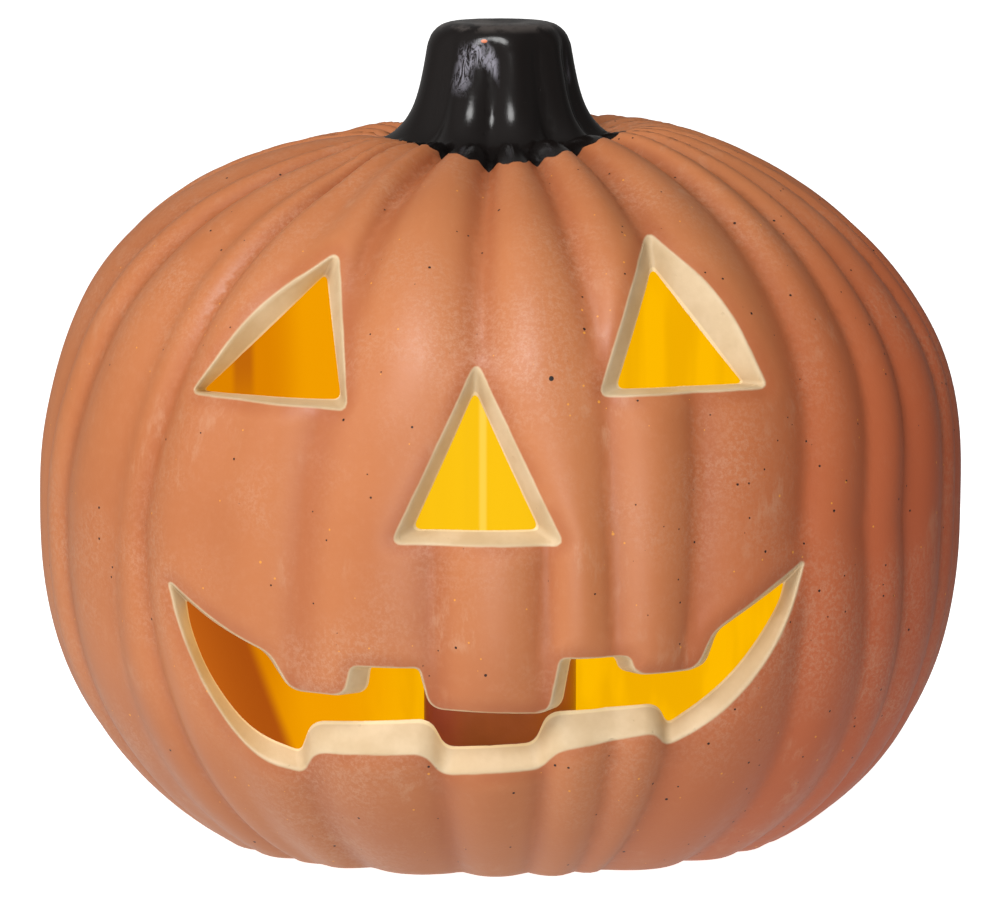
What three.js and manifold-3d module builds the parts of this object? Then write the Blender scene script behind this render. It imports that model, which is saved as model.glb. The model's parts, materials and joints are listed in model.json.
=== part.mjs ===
// Lit jack-o'-lantern: a hollow ceramic pumpkin with a carved face, and a battery light unit that plugs
// into its base. Millimetres, +Z up, the face looks along -Y, and the origin is on the table under the centre.
import * as THREE from "three";
import { mergeVertices } from "three/addons/utils/BufferGeometryUtils.js";
import Module from "manifold-3d";

const wasm = await Module();
wasm.setup();

// ---------------------------------------------------------------- driving dimensions
const BODY_RADIUS = 115;
const BODY_CENTRE_Z = 87.3;
const CROWN = { height: 93.5, power: 2.32 }; // the upper half's superellipse
const BOWL = { height: 99.8, power: 2.52 }; // the lower half's superellipse
const WALL = 6.8;
const FOOT_Z = 0.4; // rim of the ceramic foot, just clear of the table
const FLOOR_Z = 12; // inside floor
const DIMPLE = { depth: 13.6, radius: 27.8 }; // hollow round the stem

const RECESS = { radius: 46, top: 5.3 }; // underside recess for the light unit's plate
const HOLE_RADIUS = 36;
const PAD = { radius: 6, thickness: 1.2, ring: 54.5, count: 4 };
const PAD_SEAT = { radius: 62, top: 1.5 }; // shallow hollow inside the foot's rim, where the pads are stuck on

const STEM_X = -0.3;
const STEM_TOP = 203.6;
const STEM_FLUTES = 6;

const GAP = 0.3; // between pieces that touch
const PLATE = { radius: 41, bottom: 2, top: 5 };
const COLLAR = { outer: 33, inner: 31, top: 12 };
const COLUMN = { halfWidth: 19, halfDepth: 11.5, wall: 1.6, top: 64.5 };
const COLUMN_BOTTOM = PLATE.top + GAP;
const CAP_HOLE = 9.3;

const CELL = { radius: 7.1, length: 50.5, nub: 1, nubRadius: 2.75, x: 7.9, bottom: 7.6 };
const CELL_TOP = CELL.bottom + CELL.length;
const BOARD = { bottom: 61, top: 62.6 };
const LED_PITCH = 5;

const HINGE = { y: 10.2, z: 3.4, radius: 1.4, pin: 0.8 };
const DOOR = { halfWidth: 15.3, front: -8.9, tab: -11.6, tabHalf: 4 };
const SCREW_X = 21.8;
const SWITCH_Y = -22;

// Grooves between the ribs, as azimuths in degrees from the front (+ towards +X): at the widest height, beside
// the stem and near the foot. span is how many degrees above the widest height a groove takes to reach `top`.
const FRONT_GROOVES = [
  { mid: -80, top: -66, low: -80, depth: 1.6 },
  { mid: -71, top: -55, low: -71, depth: 2 },
  { mid: -55, top: -44, low: -60, depth: 1.2 },
  { mid: -50, top: -36, low: -47, depth: 2.2 },
  { mid: -37.5, top: -29, low: -40, depth: 0.8 },
  { mid: -24.5, top: -20, low: -32, depth: 1.6 },
  { mid: -8, top: -4, low: -8, depth: 1.8, span: 20 },
  { mid: 5.5, top: -2.6, low: 6, depth: 1.8, span: 20 },
  { mid: 13.5, top: 10, low: 16, depth: 1.6 },
  { mid: 24.5, top: 25, low: 22, depth: 1.7 },
  { mid: 40, top: 46, low: 43, depth: 2 },
  { mid: 51, top: 58, low: 58, depth: 1.6 },
  { mid: 60.5, top: 68, low: 67, depth: 2 },
  { mid: 74, top: 80, low: 76, depth: 1.6 },
  { mid: 81, top: 89, low: 84, depth: 1.4 },
];
const BACK_GROOVES = { count: 15, from: 93, to: 266, depth: 2 };
const GROOVE_HALF_WIDTH = 6;

// Openings of the face. Each corner is [x, z, rounding] on the outer surface, then [x, z] on the inner surface.
const SOFT = 99; // rounded over the whole of both edges, for a curved stretch
const LEFT_EYE = [
  [-38.7, 153.0, 2.2, -41.5, 147.8],
  [-58.6, 140.4, SOFT, -56.6, 133.6],
  [-73.4, 119.9, 1.6, -71.1, 119.6],
  [-36.4, 118.3, 2.2, -37.7, 119.8],
];
const RIGHT_EYE = [
  [35.2, 157.6, 2.2, 36.3, 149.4],
  [23.6, 122.0, 2.2, 27.4, 122.9],
  [63.3, 122.3, 1.6, 57.8, 122.7],
  [53.4, 143.2, SOFT, 46.3, 137],
];
const NOSE = [
  [-5.6, 129.6, 2.6, -5.9, 122.8],
  [-25.4, 87.6, 2.4, -20.6, 90.3],
  [14.8, 87.4, 2.4, 9.2, 90.4],
];
const MOUTH = [
  [-79.2, 74.4, 1, -75.3, 69.4], // left corner, then down the curve of the lower lip
  [-76.4, 62.5, SOFT, -74.2, 62],
  [-69.4, 46.6, SOFT, -69.3, 50.2],
  [-59, 32.6, SOFT, -60, 38],
  [-47.2, 29.4, 1.8, -47.8, 33.8], // lower left tooth
  [-44.5, 35.2, 3.2, -44.9, 42],
  [-17.7, 36.1, 3.2, -16.6, 44.1],
  [-13.7, 30.8, 2.4, -12.9, 36.9],
  [9.7, 32.5, 2.4, 8.1, 38.1], // lower right tooth
  [13.2, 37.1, 3.2, 11.4, 46],
  [37.2, 41.2, 3.2, 37.4, 47.3],
  [39.6, 37.1, 1.8, 39.9, 41.7],
  [50.4, 42.6, SOFT, 50.5, 49], // up the curve to the right corner
  [61.4, 53.4, SOFT, 58.5, 57],
  [69, 66.6, SOFT, 66.5, 69],
  [72.6, 80, 1, 67.9, 74.6],
  [50.9, 64.8, 2.2, 51.7, 64.3], // upper right tooth
  [46.9, 55.6, 3.4, 48.6, 55.3],
  [32, 55.4, 3, 28.5, 55.5],
  [30.6, 59.9, 1.4, 27, 59.6],
  [14.4, 59.9, 1.4, 16.8, 59.7], // upper middle tooth
  [11.7, 46.2, 3.6, 14.5, 46.5],
  [-16.7, 47.2, 3.6, -16.6, 47.2],
  [-19.2, 57.4, 1.4, -19.4, 57],
  [-35.2, 57.4, 1.6, -30.6, 57.2], // upper left tooth
  [-36.8, 49.8, 3.4, -31.5, 50],
  [-50, 50.2, 3.4, -50.2, 49.7],
  [-54.9, 59.3, 2.6, -56, 58.8],
  [-67.3, 64.9, SOFT, -67, 63.5],
];
const LONGEST_EDGE = 12; // outline edges are split so that they follow the round surface

// ---------------------------------------------------------------- helpers
const rad = THREE.MathUtils.degToRad;

function solidOf(geometry) {
  const bare = new THREE.BufferGeometry().setAttribute("position", geometry.getAttribute("position"));
  bare.setIndex(geometry.index);
  const merged = mergeVertices(bare, 1e-4);
  return new wasm.Manifold(
    new wasm.Mesh({
      numProp: 3,
      vertProperties: merged.attributes.position.array,
      triVerts: new Uint32Array(merged.index.array),
    }),
  );
}

function geometryOf(solid) {
  const mesh = solid.getMesh();
  return new THREE.BufferGeometry()
    .setAttribute("position", new THREE.BufferAttribute(mesh.vertProperties, 3))
    .setIndex(new THREE.BufferAttribute(mesh.triVerts, 1));
}

// Joins the first geometries and cuts the second ones away.
function carve(joined, cut = []) {
  let solid = joined.map(solidOf).reduce((a, b) => a.add(b));
  for (const tool of cut) solid = solid.subtract(solidOf(tool));
  return geometryOf(solid);
}

function box(x0, x1, y0, y1, z0, z1) {
  return new THREE.BoxGeometry(x1 - x0, y1 - y0, z1 - z0).translate((x0 + x1) / 2, (y0 + y1) / 2, (z0 + z1) / 2);
}

function cylinder(radius, z0, z1, x = 0, y = 0, sides = 32) {
  return new THREE.CylinderGeometry(radius, radius, z1 - z0, sides)
    .rotateX(Math.PI / 2)
    .translate(x, y, (z0 + z1) / 2);
}

function crossBar(radius, x0, x1, y, z, sides = 16) {
  return new THREE.CylinderGeometry(radius, radius, x1 - x0, sides)
    .rotateZ(Math.PI / 2)
    .translate((x0 + x1) / 2, y, z);
}

// Turns a closed [radius, z] profile, drawn anticlockwise seen with z up, about the Z axis.
function turned(profile, segments = 48) {
  const points = profile.map(([r, z]) => new THREE.Vector2(r, z));
  return new THREE.LatheGeometry(points, segments).rotateX(Math.PI / 2);
}

// A six-sided wire along a path.
function wire(path, radius, steps) {
  const section = new THREE.Shape();
  section.absarc(0, 0, radius, 0, 2 * Math.PI);
  return new THREE.ExtrudeGeometry(section, {
    steps,
    curveSegments: 3,
    extrudePath: path,
    bevelEnabled: false,
  });
}

// A conical coil spring standing on z0.
function coil(bottomRadius, topRadius, z0, z1, turns, wireRadius, x) {
  const points = [];
  const count = turns * 11;
  for (let i = 0; i <= count; i++) {
    const t = i / count;
    const angle = 2 * Math.PI * turns * t;
    const radius = THREE.MathUtils.lerp(bottomRadius, topRadius, t);
    const z = THREE.MathUtils.lerp(z0 + wireRadius, z1 - wireRadius, t);
    points.push(new THREE.Vector3(x + radius * Math.cos(angle), radius * Math.sin(angle), z));
  }
  return wire(new THREE.CatmullRomCurve3(points), wireRadius, count);
}

// A plate or tube blank with round ends, extruded up from z0.
function obround(halfWidth, halfDepth, z0, z1) {
  const centre = halfWidth - halfDepth;
  const outline = new THREE.Shape();
  outline.absarc(centre, 0, halfDepth, -Math.PI / 2, Math.PI / 2);
  outline.absarc(-centre, 0, halfDepth, Math.PI / 2, 1.5 * Math.PI);
  return new THREE.ExtrudeGeometry(outline, {
    depth: z1 - z0,
    curveSegments: 12,
    bevelEnabled: false,
  }).translate(0, 0, z0);
}

// ---------------------------------------------------------------- pumpkin body
// Distance from the centre to the smooth envelope, at an angle down from straight up.
function envelope(angle, inset = 0) {
  const half = angle < Math.PI / 2 ? CROWN : BOWL;
  const across = Math.sin(angle) / (BODY_RADIUS - inset);
  const along = Math.abs(Math.cos(angle)) / (half.height - inset);
  return (across ** half.power + along ** half.power) ** (-1 / half.power);
}

// How far in front of the axis the envelope is, at a given x and z.
function frontOf(x, z, inset = 0) {
  const half = z > BODY_CENTRE_Z ? CROWN : BOWL;
  const share = Math.abs(z - BODY_CENTRE_Z) / (half.height - inset);
  const radius = (BODY_RADIUS - inset) * (1 - share ** half.power) ** (1 / half.power);
  return -Math.sqrt(radius ** 2 - x ** 2);
}

function backGrooves() {
  const pitch = (BACK_GROOVES.to - BACK_GROOVES.from) / (BACK_GROOVES.count - 1);
  return Array.from({ length: BACK_GROOVES.count }, (_, i) => {
    const mid = BACK_GROOVES.from + pitch * i + 1.4 * Math.sin(2.1 * i);
    return { mid, top: mid, low: mid, depth: BACK_GROOVES.depth };
  });
}
const GROOVES = [...FRONT_GROOVES, ...backGrooves()];

function grooveAzimuth(groove, angle) {
  const up = 90 - THREE.MathUtils.radToDeg(angle);
  if (up > 0) return groove.mid + (groove.top - groove.mid) * Math.min(1, up / (groove.span ?? 75));
  return groove.mid + (groove.low - groove.mid) * Math.min(1, -up / 50);
}

// Depth of the ribbing at an azimuth in degrees: a cusp at each groove, deeper near the stem, zero on the crests.
function grooveDepth(azimuth, angle) {
  const up = Math.max(0, 90 - THREE.MathUtils.radToDeg(angle));
  const deeper = (1 + 0.9 * Math.min(1, up / 60) ** 2) * Math.min(1, angle / rad(15));
  let depth = 0;
  for (const groove of GROOVES) {
    const turn = THREE.MathUtils.euclideanModulo(azimuth - grooveAzimuth(groove, angle) + 180, 360) - 180;
    const share = Math.abs(turn) / GROOVE_HALF_WIDTH;
    if (share < 1) depth = Math.max(depth, groove.depth * deeper * (1 - share) ** 2);
  }
  return depth;
}

// A point of the body at an angle down from the top: dimpled round the stem, and ribbed where asked.
function bodyPoint(angle, azimuth, inset, ribbed) {
  const distance = envelope(angle, inset) - (ribbed ? grooveDepth(azimuth, angle) : 0);
  const radius = distance * Math.sin(angle);
  const dip = angle < Math.PI / 2 ? DIMPLE.depth * Math.exp(-((radius / DIMPLE.radius) ** 3)) : 0;
  const turn = rad(azimuth);
  return new THREE.Vector3(
    radius * Math.sin(turn),
    -radius * Math.cos(turn),
    BODY_CENTRE_Z + distance * Math.cos(angle) - dip,
  );
}

// Reshapes a sphere into the body, cut flat at floorZ: the last two rows of the sphere make the flat.
function bodyGeometry({ columns, rows, inset, floorZ, azimuthAt, ribbed }) {
  let cutAngle = Math.PI / 2;
  while (BODY_CENTRE_Z + envelope(cutAngle, inset) * Math.cos(cutAngle) > floorZ) cutAngle += 1e-4;
  const flatFrom = (rows - 2) / rows;
  const sphere = new THREE.SphereGeometry(1, columns, rows);
  const { position, uv } = sphere.attributes;
  for (let i = 0; i < position.count; i++) {
    const down = 1 - uv.getY(i);
    const column = THREE.MathUtils.euclideanModulo(Math.round(uv.getX(i) * columns), columns);
    const angle = cutAngle * Math.min(1, down / flatFrom);
    const point = bodyPoint(angle, azimuthAt(column, angle), inset, ribbed);
    if (down >= flatFrom - 1e-6) {
      point.multiplyScalar(Math.max(0, (1 - down) / (1 - flatFrom)));
      point.z = floorZ;
    }
    position.setXYZ(i, point.x, point.y, point.z);
  }
  return sphere;
}

const COLUMNS_PER_RIB = 4;
// Columns of the outside follow the grooves, with three more columns across each rib.
function ribColumn(column, angle) {
  const k = Math.floor(column / COLUMNS_PER_RIB) % GROOVES.length;
  const share = (column % COLUMNS_PER_RIB) / COLUMNS_PER_RIB;
  const here = grooveAzimuth(GROOVES[k], angle);
  const next = grooveAzimuth(GROOVES[(k + 1) % GROOVES.length], angle);
  return here + THREE.MathUtils.euclideanModulo(next - here, 360) * share;
}

function outerBody() {
  return bodyGeometry({
    columns: GROOVES.length * COLUMNS_PER_RIB,
    rows: 21,
    inset: 0,
    floorZ: FOOT_Z,
    azimuthAt: ribColumn,
    ribbed: true,
  });
}

function innerBody() {
  const columns = 40;
  return bodyGeometry({
    columns,
    rows: 15,
    inset: WALL,
    floorZ: FLOOR_Z,
    azimuthAt: (column) => (360 * column) / columns,
    ribbed: false,
  });
}

// Fluted stem, flared where it meets the body, with a dished top.
function stem() {
  const profile = [
    [0, 158],
    [36, 158],
    [36, 171],
    [31.2, 173.8],
    [27.4, 175.8],
    [24.9, 177.8],
    [22, 181.6],
    [20.4, 185],
    [18.5, 194],
    [17.4, 200.3],
    [15.6, 202.9],
    [12, STEM_TOP],
    [8, STEM_TOP - 0.8],
    [0, STEM_TOP - 1.6],
  ];
  const geometry = turned(profile, 8 * STEM_FLUTES);
  const position = geometry.getAttribute("position");
  for (let i = 0; i < position.count; i++) {
    const [x, y, z] = [position.getX(i), position.getY(i), position.getZ(i)];
    const depth = 0.05 + 0.05 * THREE.MathUtils.smoothstep(200 - z, 0, 30);
    const flute = 1 - depth * (0.5 + 0.5 * Math.cos(STEM_FLUTES * Math.atan2(y, x)));
    position.setXYZ(i, STEM_X + x * flute, y * flute, z);
  }
  return geometry;
}

function stemHollow() {
  return turned([[0, 150], [13, 150], [11, 185], [8, 195], [0, 197]], 24).translate(STEM_X, 0, 0);
}

// Corner k of an outline as a short run of points on the curve that rounds it.
function roundedCorner(corners, k, steps) {
  const at = corners[k];
  const previous = corners[(k + corners.length - 1) % corners.length];
  const next = corners[(k + 1) % corners.length];
  const reach = (other) => Math.min(at.rounding / at.p.distanceTo(other.p), 0.5);
  const start = at.p.clone().lerp(previous.p, reach(previous));
  const end = at.p.clone().lerp(next.p, reach(next));
  return new THREE.QuadraticBezierCurve(start, at.p, end).getPoints(steps);
}

// The outer and inner outline of an opening, point for point, with no point twice.
function outlinePair(opening) {
  const outer = opening.map(([x, z, rounding]) => ({ p: new THREE.Vector2(x, z), rounding }));
  const inner = opening.map(([, , rounding, x, z]) => ({ p: new THREE.Vector2(x, z), rounding }));
  const pairs = opening.flatMap((corner, k) => {
    const steps = corner[2] === SOFT ? 4 : 2;
    const inside = roundedCorner(inner, k, steps);
    return roundedCorner(outer, k, steps).map((p, i) => [p, inside[i]]);
  });
  return pairs.filter(([p], i) => p.distanceTo(pairs[(i + 1) % pairs.length][0]) > 1e-3);
}

// The solid that an opening removes: straight in, tapering through the wall, then straight on inside.
// Long edges are split so that the tapering walls follow the round surface.
function openingCutter(opening) {
  const pairs = outlinePair(opening);
  const split = [];
  const firstOf = [];
  pairs.forEach(([outer, inner], i) => {
    const [nextOuter, nextInner] = pairs[(i + 1) % pairs.length];
    const pieces = Math.max(1, Math.ceil(outer.distanceTo(nextOuter) / LONGEST_EDGE));
    firstOf.push(split.length);
    for (let s = 0; s < pieces; s++)
      split.push([outer.clone().lerp(nextOuter, s / pieces), inner.clone().lerp(nextInner, s / pieces)]);
  });
  const rings = [
    split.map(([p]) => [p.x, -140, p.y]),
    split.map(([p]) => [p.x, frontOf(p.x, p.y), p.y]),
    split.map(([, p]) => [p.x, frontOf(p.x, p.y, WALL), p.y]),
    split.map(([, p]) => [p.x, -50, p.y]),
  ];
  const count = split.length;
  const index = [];
  for (let ring = 0; ring < rings.length - 1; ring++)
    for (let i = 0; i < count; i++) {
      const [a, b] = [ring * count + i, ring * count + ((i + 1) % count)];
      index.push(a, b + count, b, a, a + count, b + count);
    }
  const lid = (side) => [
    ...THREE.ShapeUtils.triangulateShape(pairs.map((pair) => pair[side]), []).map((face) => face.map((i) => firstOf[i])),
    ...edgeFans(firstOf, count),
  ];
  const last = count * (rings.length - 1);
  for (const [a, b, c] of lid(0)) index.push(a, b, c);
  for (const [a, b, c] of lid(1)) index.push(last + a, last + c, last + b);
  return new THREE.BufferGeometry()
    .setAttribute("position", new THREE.Float32BufferAttribute(rings.flat(2), 3))
    .setIndex(index);
}

// Flat slivers that join a lid's straight edges to the points that split them.
function edgeFans(firstOf, count) {
  return firstOf.flatMap((first, i) => {
    const end = firstOf[i + 1] ?? count;
    const fan = [];
    for (let k = first + 1; k < end; k++) fan.push([first, k, (k + 1) % count]);
    return fan;
  });
}

function shell() {
  const openings = [LEFT_EYE, RIGHT_EYE, NOSE, MOUTH].map(openingCutter);
  const underside = [
    cylinder(PAD_SEAT.radius, -1, PAD_SEAT.top, 0, 0, 64),
    cylinder(RECESS.radius, -1, RECESS.top, 0, 0, 48),
    cylinder(HOLE_RADIUS, 0, FLOOR_Z + 3, 0, 0, 48),
  ];
  return carve([outerBody(), stem()], [innerBody(), stemHollow(), ...openings, ...underside]);
}

// ---------------------------------------------------------------- light unit
function basePlate() {
  const plate = turned(
    [
      [0, PLATE.bottom],
      [PLATE.radius - 0.8, PLATE.bottom],
      [PLATE.radius, PLATE.bottom + 0.8],
      [PLATE.radius, PLATE.top],
      [COLLAR.outer, PLATE.top],
      [COLLAR.outer, COLLAR.top],
      [COLLAR.inner, COLLAR.top],
      [COLLAR.inner, PLATE.top],
      [0, PLATE.top],
    ],
    48,
  );
  const doorway = box(-DOOR.halfWidth - 0.4, DOOR.halfWidth + 0.4, DOOR.front - 0.4, HINGE.y + 2, 0, 6);
  const thumbNotch = box(-DOOR.tabHalf - 0.8, DOOR.tabHalf + 0.8, DOOR.tab - 0.8, DOOR.front + 1, 0, 6);
  const pinSockets = crossBar(HINGE.pin + 0.3, -DOOR.halfWidth - 1.9, DOOR.halfWidth + 1.9, HINGE.y, HINGE.z);
  const knobSlot = box(-4, 4, SWITCH_Y - 1.6, SWITCH_Y + 1.6, 0, 6);
  const screwHoles = [-1, 1].flatMap((side) => [
    cylinder(1.3, 0, 6, side * SCREW_X, 0, 16),
    cylinder(2.9, 0, 3.7, side * SCREW_X, 0, 20),
  ]);
  return carve([plate], [doorway, thumbNotch, pinSockets, knobSlot, ...screwHoles]);
}

// Silicone ring on the collar, with two beads that grip the hole in the ceramic.
function sealRing() {
  const inner = COLLAR.outer + GAP;
  const grip = HOLE_RADIUS - GAP;
  return turned(
    [
      [inner, 5.6],
      [grip - 1, 5.6],
      [grip, 6.8],
      [grip - 1, 8.2],
      [grip, 9.8],
      [grip - 1, 11.4],
      [inner, 11.4],
      [inner, 5.6],
    ],
    48,
  );
}

function column() {
  const { halfWidth, halfDepth, wall, top } = COLUMN;
  const body = obround(halfWidth, halfDepth, COLUMN_BOTTOM, top);
  const inside = obround(halfWidth - wall, halfDepth - wall, 0, top - wall);
  const ears = [-1, 1].map((side) => cylinder(3.6, COLUMN_BOTTOM, 13, side * SCREW_X, 0, 20));
  const screwHoles = [-1, 1].map((side) => cylinder(1.3, 0, 12.2, side * SCREW_X, 0, 16));
  const leadWindow = box(-3.2, 3.2, -halfDepth - 1, -halfDepth + 2.5, 9, 15);
  const hollow = carve([body], [inside, cylinder(CAP_HOLE, 60, 70), leadWindow]);
  const rib = box(-0.5, 0.5, 3.5, halfDepth - wall + 0.4, CELL.bottom, 57);
  return carve([hollow, ...ears, rib], screwHoles);
}

// Frosted dome over the lamps, seated in the hole at the top of the column.
function diffuserCap() {
  const seat = COLUMN.top + GAP;
  const outside = [];
  const inside = [];
  for (let i = 0; i <= 6; i++) {
    const angle = (i / 6) * (Math.PI / 2);
    outside.push([9.6 * Math.cos(angle), 66 + 5 * Math.sin(angle)]);
    inside.unshift([8 * Math.cos(angle), 66 + 3.6 * Math.sin(angle)]);
  }
  outside[6][0] = 0;
  inside[0][0] = 0;
  return turned(
    [
      ...inside,
      [8, 63.2],
      [CAP_HOLE - GAP, 63.2],
      [CAP_HOLE - GAP, seat],
      [11, seat],
      [11, 65.8],
      ...outside,
    ],
    24,
  );
}

function led(x) {
  const foot = BOARD.top + GAP;
  return turned(
    [
      [0, foot],
      [1.9, foot],
      [1.9, foot + 1],
      [1.5, foot + 1],
      [1.5, foot + 3],
      [1.1, foot + 4.1],
      [0, foot + 4.5],
    ],
    16,
  ).translate(x, 0, 0);
}

// A cell standing on its flat end at z = 0.
function cell() {
  const shoulder = CELL.length - CELL.nub;
  return turned(
    [
      [0, 0],
      [CELL.radius - 0.6, 0],
      [CELL.radius, 0.6],
      [CELL.radius, shoulder - 0.8],
      [CELL.radius - 0.8, shoulder],
      [CELL.nubRadius, shoulder],
      [CELL.nubRadius, CELL.length],
      [0, CELL.length],
    ],
    32,
  );
}

function positiveContact() {
  const pad = box(-10.6, -5.2, -2.2, 2.2, CELL_TOP + GAP, CELL_TOP + GAP + 0.4);
  const riser = box(-5.6, -5.2, -2.2, 2.2, CELL_TOP + GAP, BOARD.bottom - GAP);
  return carve([pad, riser]);
}

function switchBody() {
  const can = box(-5, 5, SWITCH_Y - 2.6, SWITCH_Y + 2.6, PLATE.top + GAP, 10);
  const tags = [-2.5, 0, 2.5].map((x) => box(x - 0.5, x + 0.5, SWITCH_Y - 0.3, SWITCH_Y + 0.3, 9.5, 11.6));
  return carve([can, ...tags]);
}

function switchLead(x) {
  const points = [
    [x, SWITCH_Y, 12.2],
    [x, SWITCH_Y + 1, 15],
    [0.8 * x, -17, 16],
    [0.6 * x, -12.5, 12.6],
    [0.6 * x, -8.2, 14.5],
    [0.6 * x, -7.4, 20],
    [0.6 * x, -7.4, 40],
    [0.6 * x, -7.4, BOARD.bottom - GAP],
  ].map((p) => new THREE.Vector3(...p));
  return wire(new THREE.CatmullRomCurve3(points, false, "centripetal"), 0.5, 28);
}

function screw(x) {
  const body = turned(
    [
      [0, 2.2],
      [2.1, 2.2],
      [2.5, 2.7],
      [2.5, 3.4],
      [1, 3.4],
      [1, 10.8],
      [0, 11.8],
    ],
    16,
  );
  const slots = [box(-1.4, 1.4, -0.3, 0.3, 2, 2.8), box(-0.3, 0.3, -1.4, 1.4, 2, 2.8)];
  return carve([body], slots).translate(x, 0, 0);
}

// ---------------------------------------------------------------- battery door and switch knob
function batteryDoor() {
  const panel = box(-DOOR.halfWidth, DOOR.halfWidth, DOOR.front, HINGE.y, PLATE.bottom, HINGE.z);
  const tab = box(-DOOR.tabHalf, DOOR.tabHalf, DOOR.tab, DOOR.front + 1, PLATE.bottom, HINGE.z);
  const barrel = crossBar(HINGE.radius, -DOOR.halfWidth, DOOR.halfWidth, HINGE.y, HINGE.z);
  const pins = crossBar(HINGE.pin, -DOOR.halfWidth - 1.4, DOOR.halfWidth + 1.4, HINGE.y, HINGE.z);
  return carve([panel, tab, barrel, pins]);
}

const BRIDGE_BOTTOM = HINGE.z + GAP;
function bridgePlate() {
  const strip = box(-12.5, 12.5, -4.5, 4.5, BRIDGE_BOTTOM, BRIDGE_BOTTOM + 0.4);
  const dome = turned([[0, BRIDGE_BOTTOM + 0.2], [3.4, BRIDGE_BOTTOM + 0.2], [2.4, 7.2], [0, 7.2]], 20);
  return carve([strip, dome.translate(CELL.x, 0, 0)]);
}

function switchKnob() {
  const stalk = box(-1.1, 1.1, SWITCH_Y - 0.9, SWITCH_Y + 0.9, 3, PLATE.top);
  const thumb = box(-1.7, 1.7, SWITCH_Y - 1.3, SWITCH_Y + 1.3, 1, 3.4);
  const grips = [-0.8, 0.8].map((x) => box(x - 0.25, x + 0.25, SWITCH_Y - 2, SWITCH_Y + 2, 0, 1.3));
  return carve([stalk, thumb], grips);
}

// ---------------------------------------------------------------- assembly
const finish = (color, roughness, metalness = 0) => new THREE.MeshStandardMaterial({ color, roughness, metalness });
const TERRACOTTA = finish(0xc37350, 0.55);
const SILICONE = finish(0xd8d4cc, 0.7);
const BROWN_PLASTIC = finish(0x8a4632, 0.5);
const BLACK_PLASTIC = finish(0x202020, 0.45);
const FROSTED = finish(0xf4ead2, 0.4);
const BOARD_GREEN = finish(0x2f6b3a, 0.5);
const AMBER = finish(0xffb31a, 0.2);
const STEEL = finish(0xb8babd, 0.3, 1);
const CELL_JACKET = finish(0x3c4650, 0.35);
const LEAD_COLOURS = [finish(0xb01818, 0.5), finish(0x151515, 0.5), finish(0xe4e0d8, 0.5)];

const pumpkin = new THREE.Group();
function add(parent, name, geometry, material) {
  const mesh = new THREE.Mesh(geometry, material);
  mesh.name = name;
  parent.add(mesh);
  return mesh;
}

add(pumpkin, "shell", shell(), TERRACOTTA);
for (let k = 0; k < PAD.count; k++) {
  const angle = (Math.PI / 2) * (k + 0.5);
  const pad = add(pumpkin, `foot_pad_${k + 1}`, cylinder(PAD.radius, 0, PAD.thickness, 0, 0, 24), SILICONE.clone());
  pad.position.set(PAD.ring * Math.cos(angle), PAD.ring * Math.sin(angle), 0);
}

const lightUnit = new THREE.Group();
pumpkin.add(lightUnit);
add(lightUnit, "base_plate", basePlate(), BLACK_PLASTIC);
add(lightUnit, "seal_ring", sealRing(), SILICONE);
add(lightUnit, "column", column(), BROWN_PLASTIC);
add(lightUnit, "diffuser_cap", diffuserCap(), FROSTED);
add(lightUnit, "circuit_board", obround(COLUMN.halfWidth - 1.9, COLUMN.halfDepth - 1.9, BOARD.bottom, BOARD.top), BOARD_GREEN);
for (let k = 0; k < 3; k++) add(lightUnit, `led_${k + 1}`, led((k - 1) * LED_PITCH), AMBER.clone());
add(lightUnit, "timer_chip", box(-2.5, 2.5, -2, 2, 59.3, BOARD.bottom - GAP), BLACK_PLASTIC.clone());
add(lightUnit, "resistor", crossBar(1.1, -3.2, 3.2, 6, 59.5), finish(0xd9c39a, 0.5));
add(lightUnit, "positive_contact", positiveContact(), STEEL.clone());
add(lightUnit, "negative_spring", coil(2.5, 4.5, CELL_TOP + GAP, BOARD.bottom - GAP, 3, 0.35, CELL.x), STEEL.clone());
add(lightUnit, "cell_1", cell(), CELL_JACKET).position.set(-CELL.x, 0, CELL.bottom);
const upsideDown = add(lightUnit, "cell_2", cell(), CELL_JACKET.clone());
upsideDown.position.set(CELL.x, 0, CELL_TOP);
upsideDown.rotation.x = Math.PI;
add(lightUnit, "switch_body", switchBody(), STEEL.clone());
LEAD_COLOURS.forEach((colour, k) => add(lightUnit, `switch_lead_${k + 1}`, switchLead(2.5 * (k - 1)), colour));
[-1, 1].forEach((side, k) => add(lightUnit, `column_screw_${k + 1}`, screw(side * SCREW_X), STEEL.clone()));

const door = new THREE.Group();
lightUnit.add(door);
add(door, "battery_door", batteryDoor(), BLACK_PLASTIC.clone());
add(door, "bridge_plate", bridgePlate(), STEEL.clone());
add(door, "bridge_spring", coil(5, 2.6, BRIDGE_BOTTOM + 0.4 + GAP, CELL.bottom - GAP, 3, 0.4, -CELL.x), STEEL.clone());
add(lightUnit, "switch_knob", switchKnob(), finish(0xe8e4da, 0.4));

export default pumpkin;
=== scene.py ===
import json
import math

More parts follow.
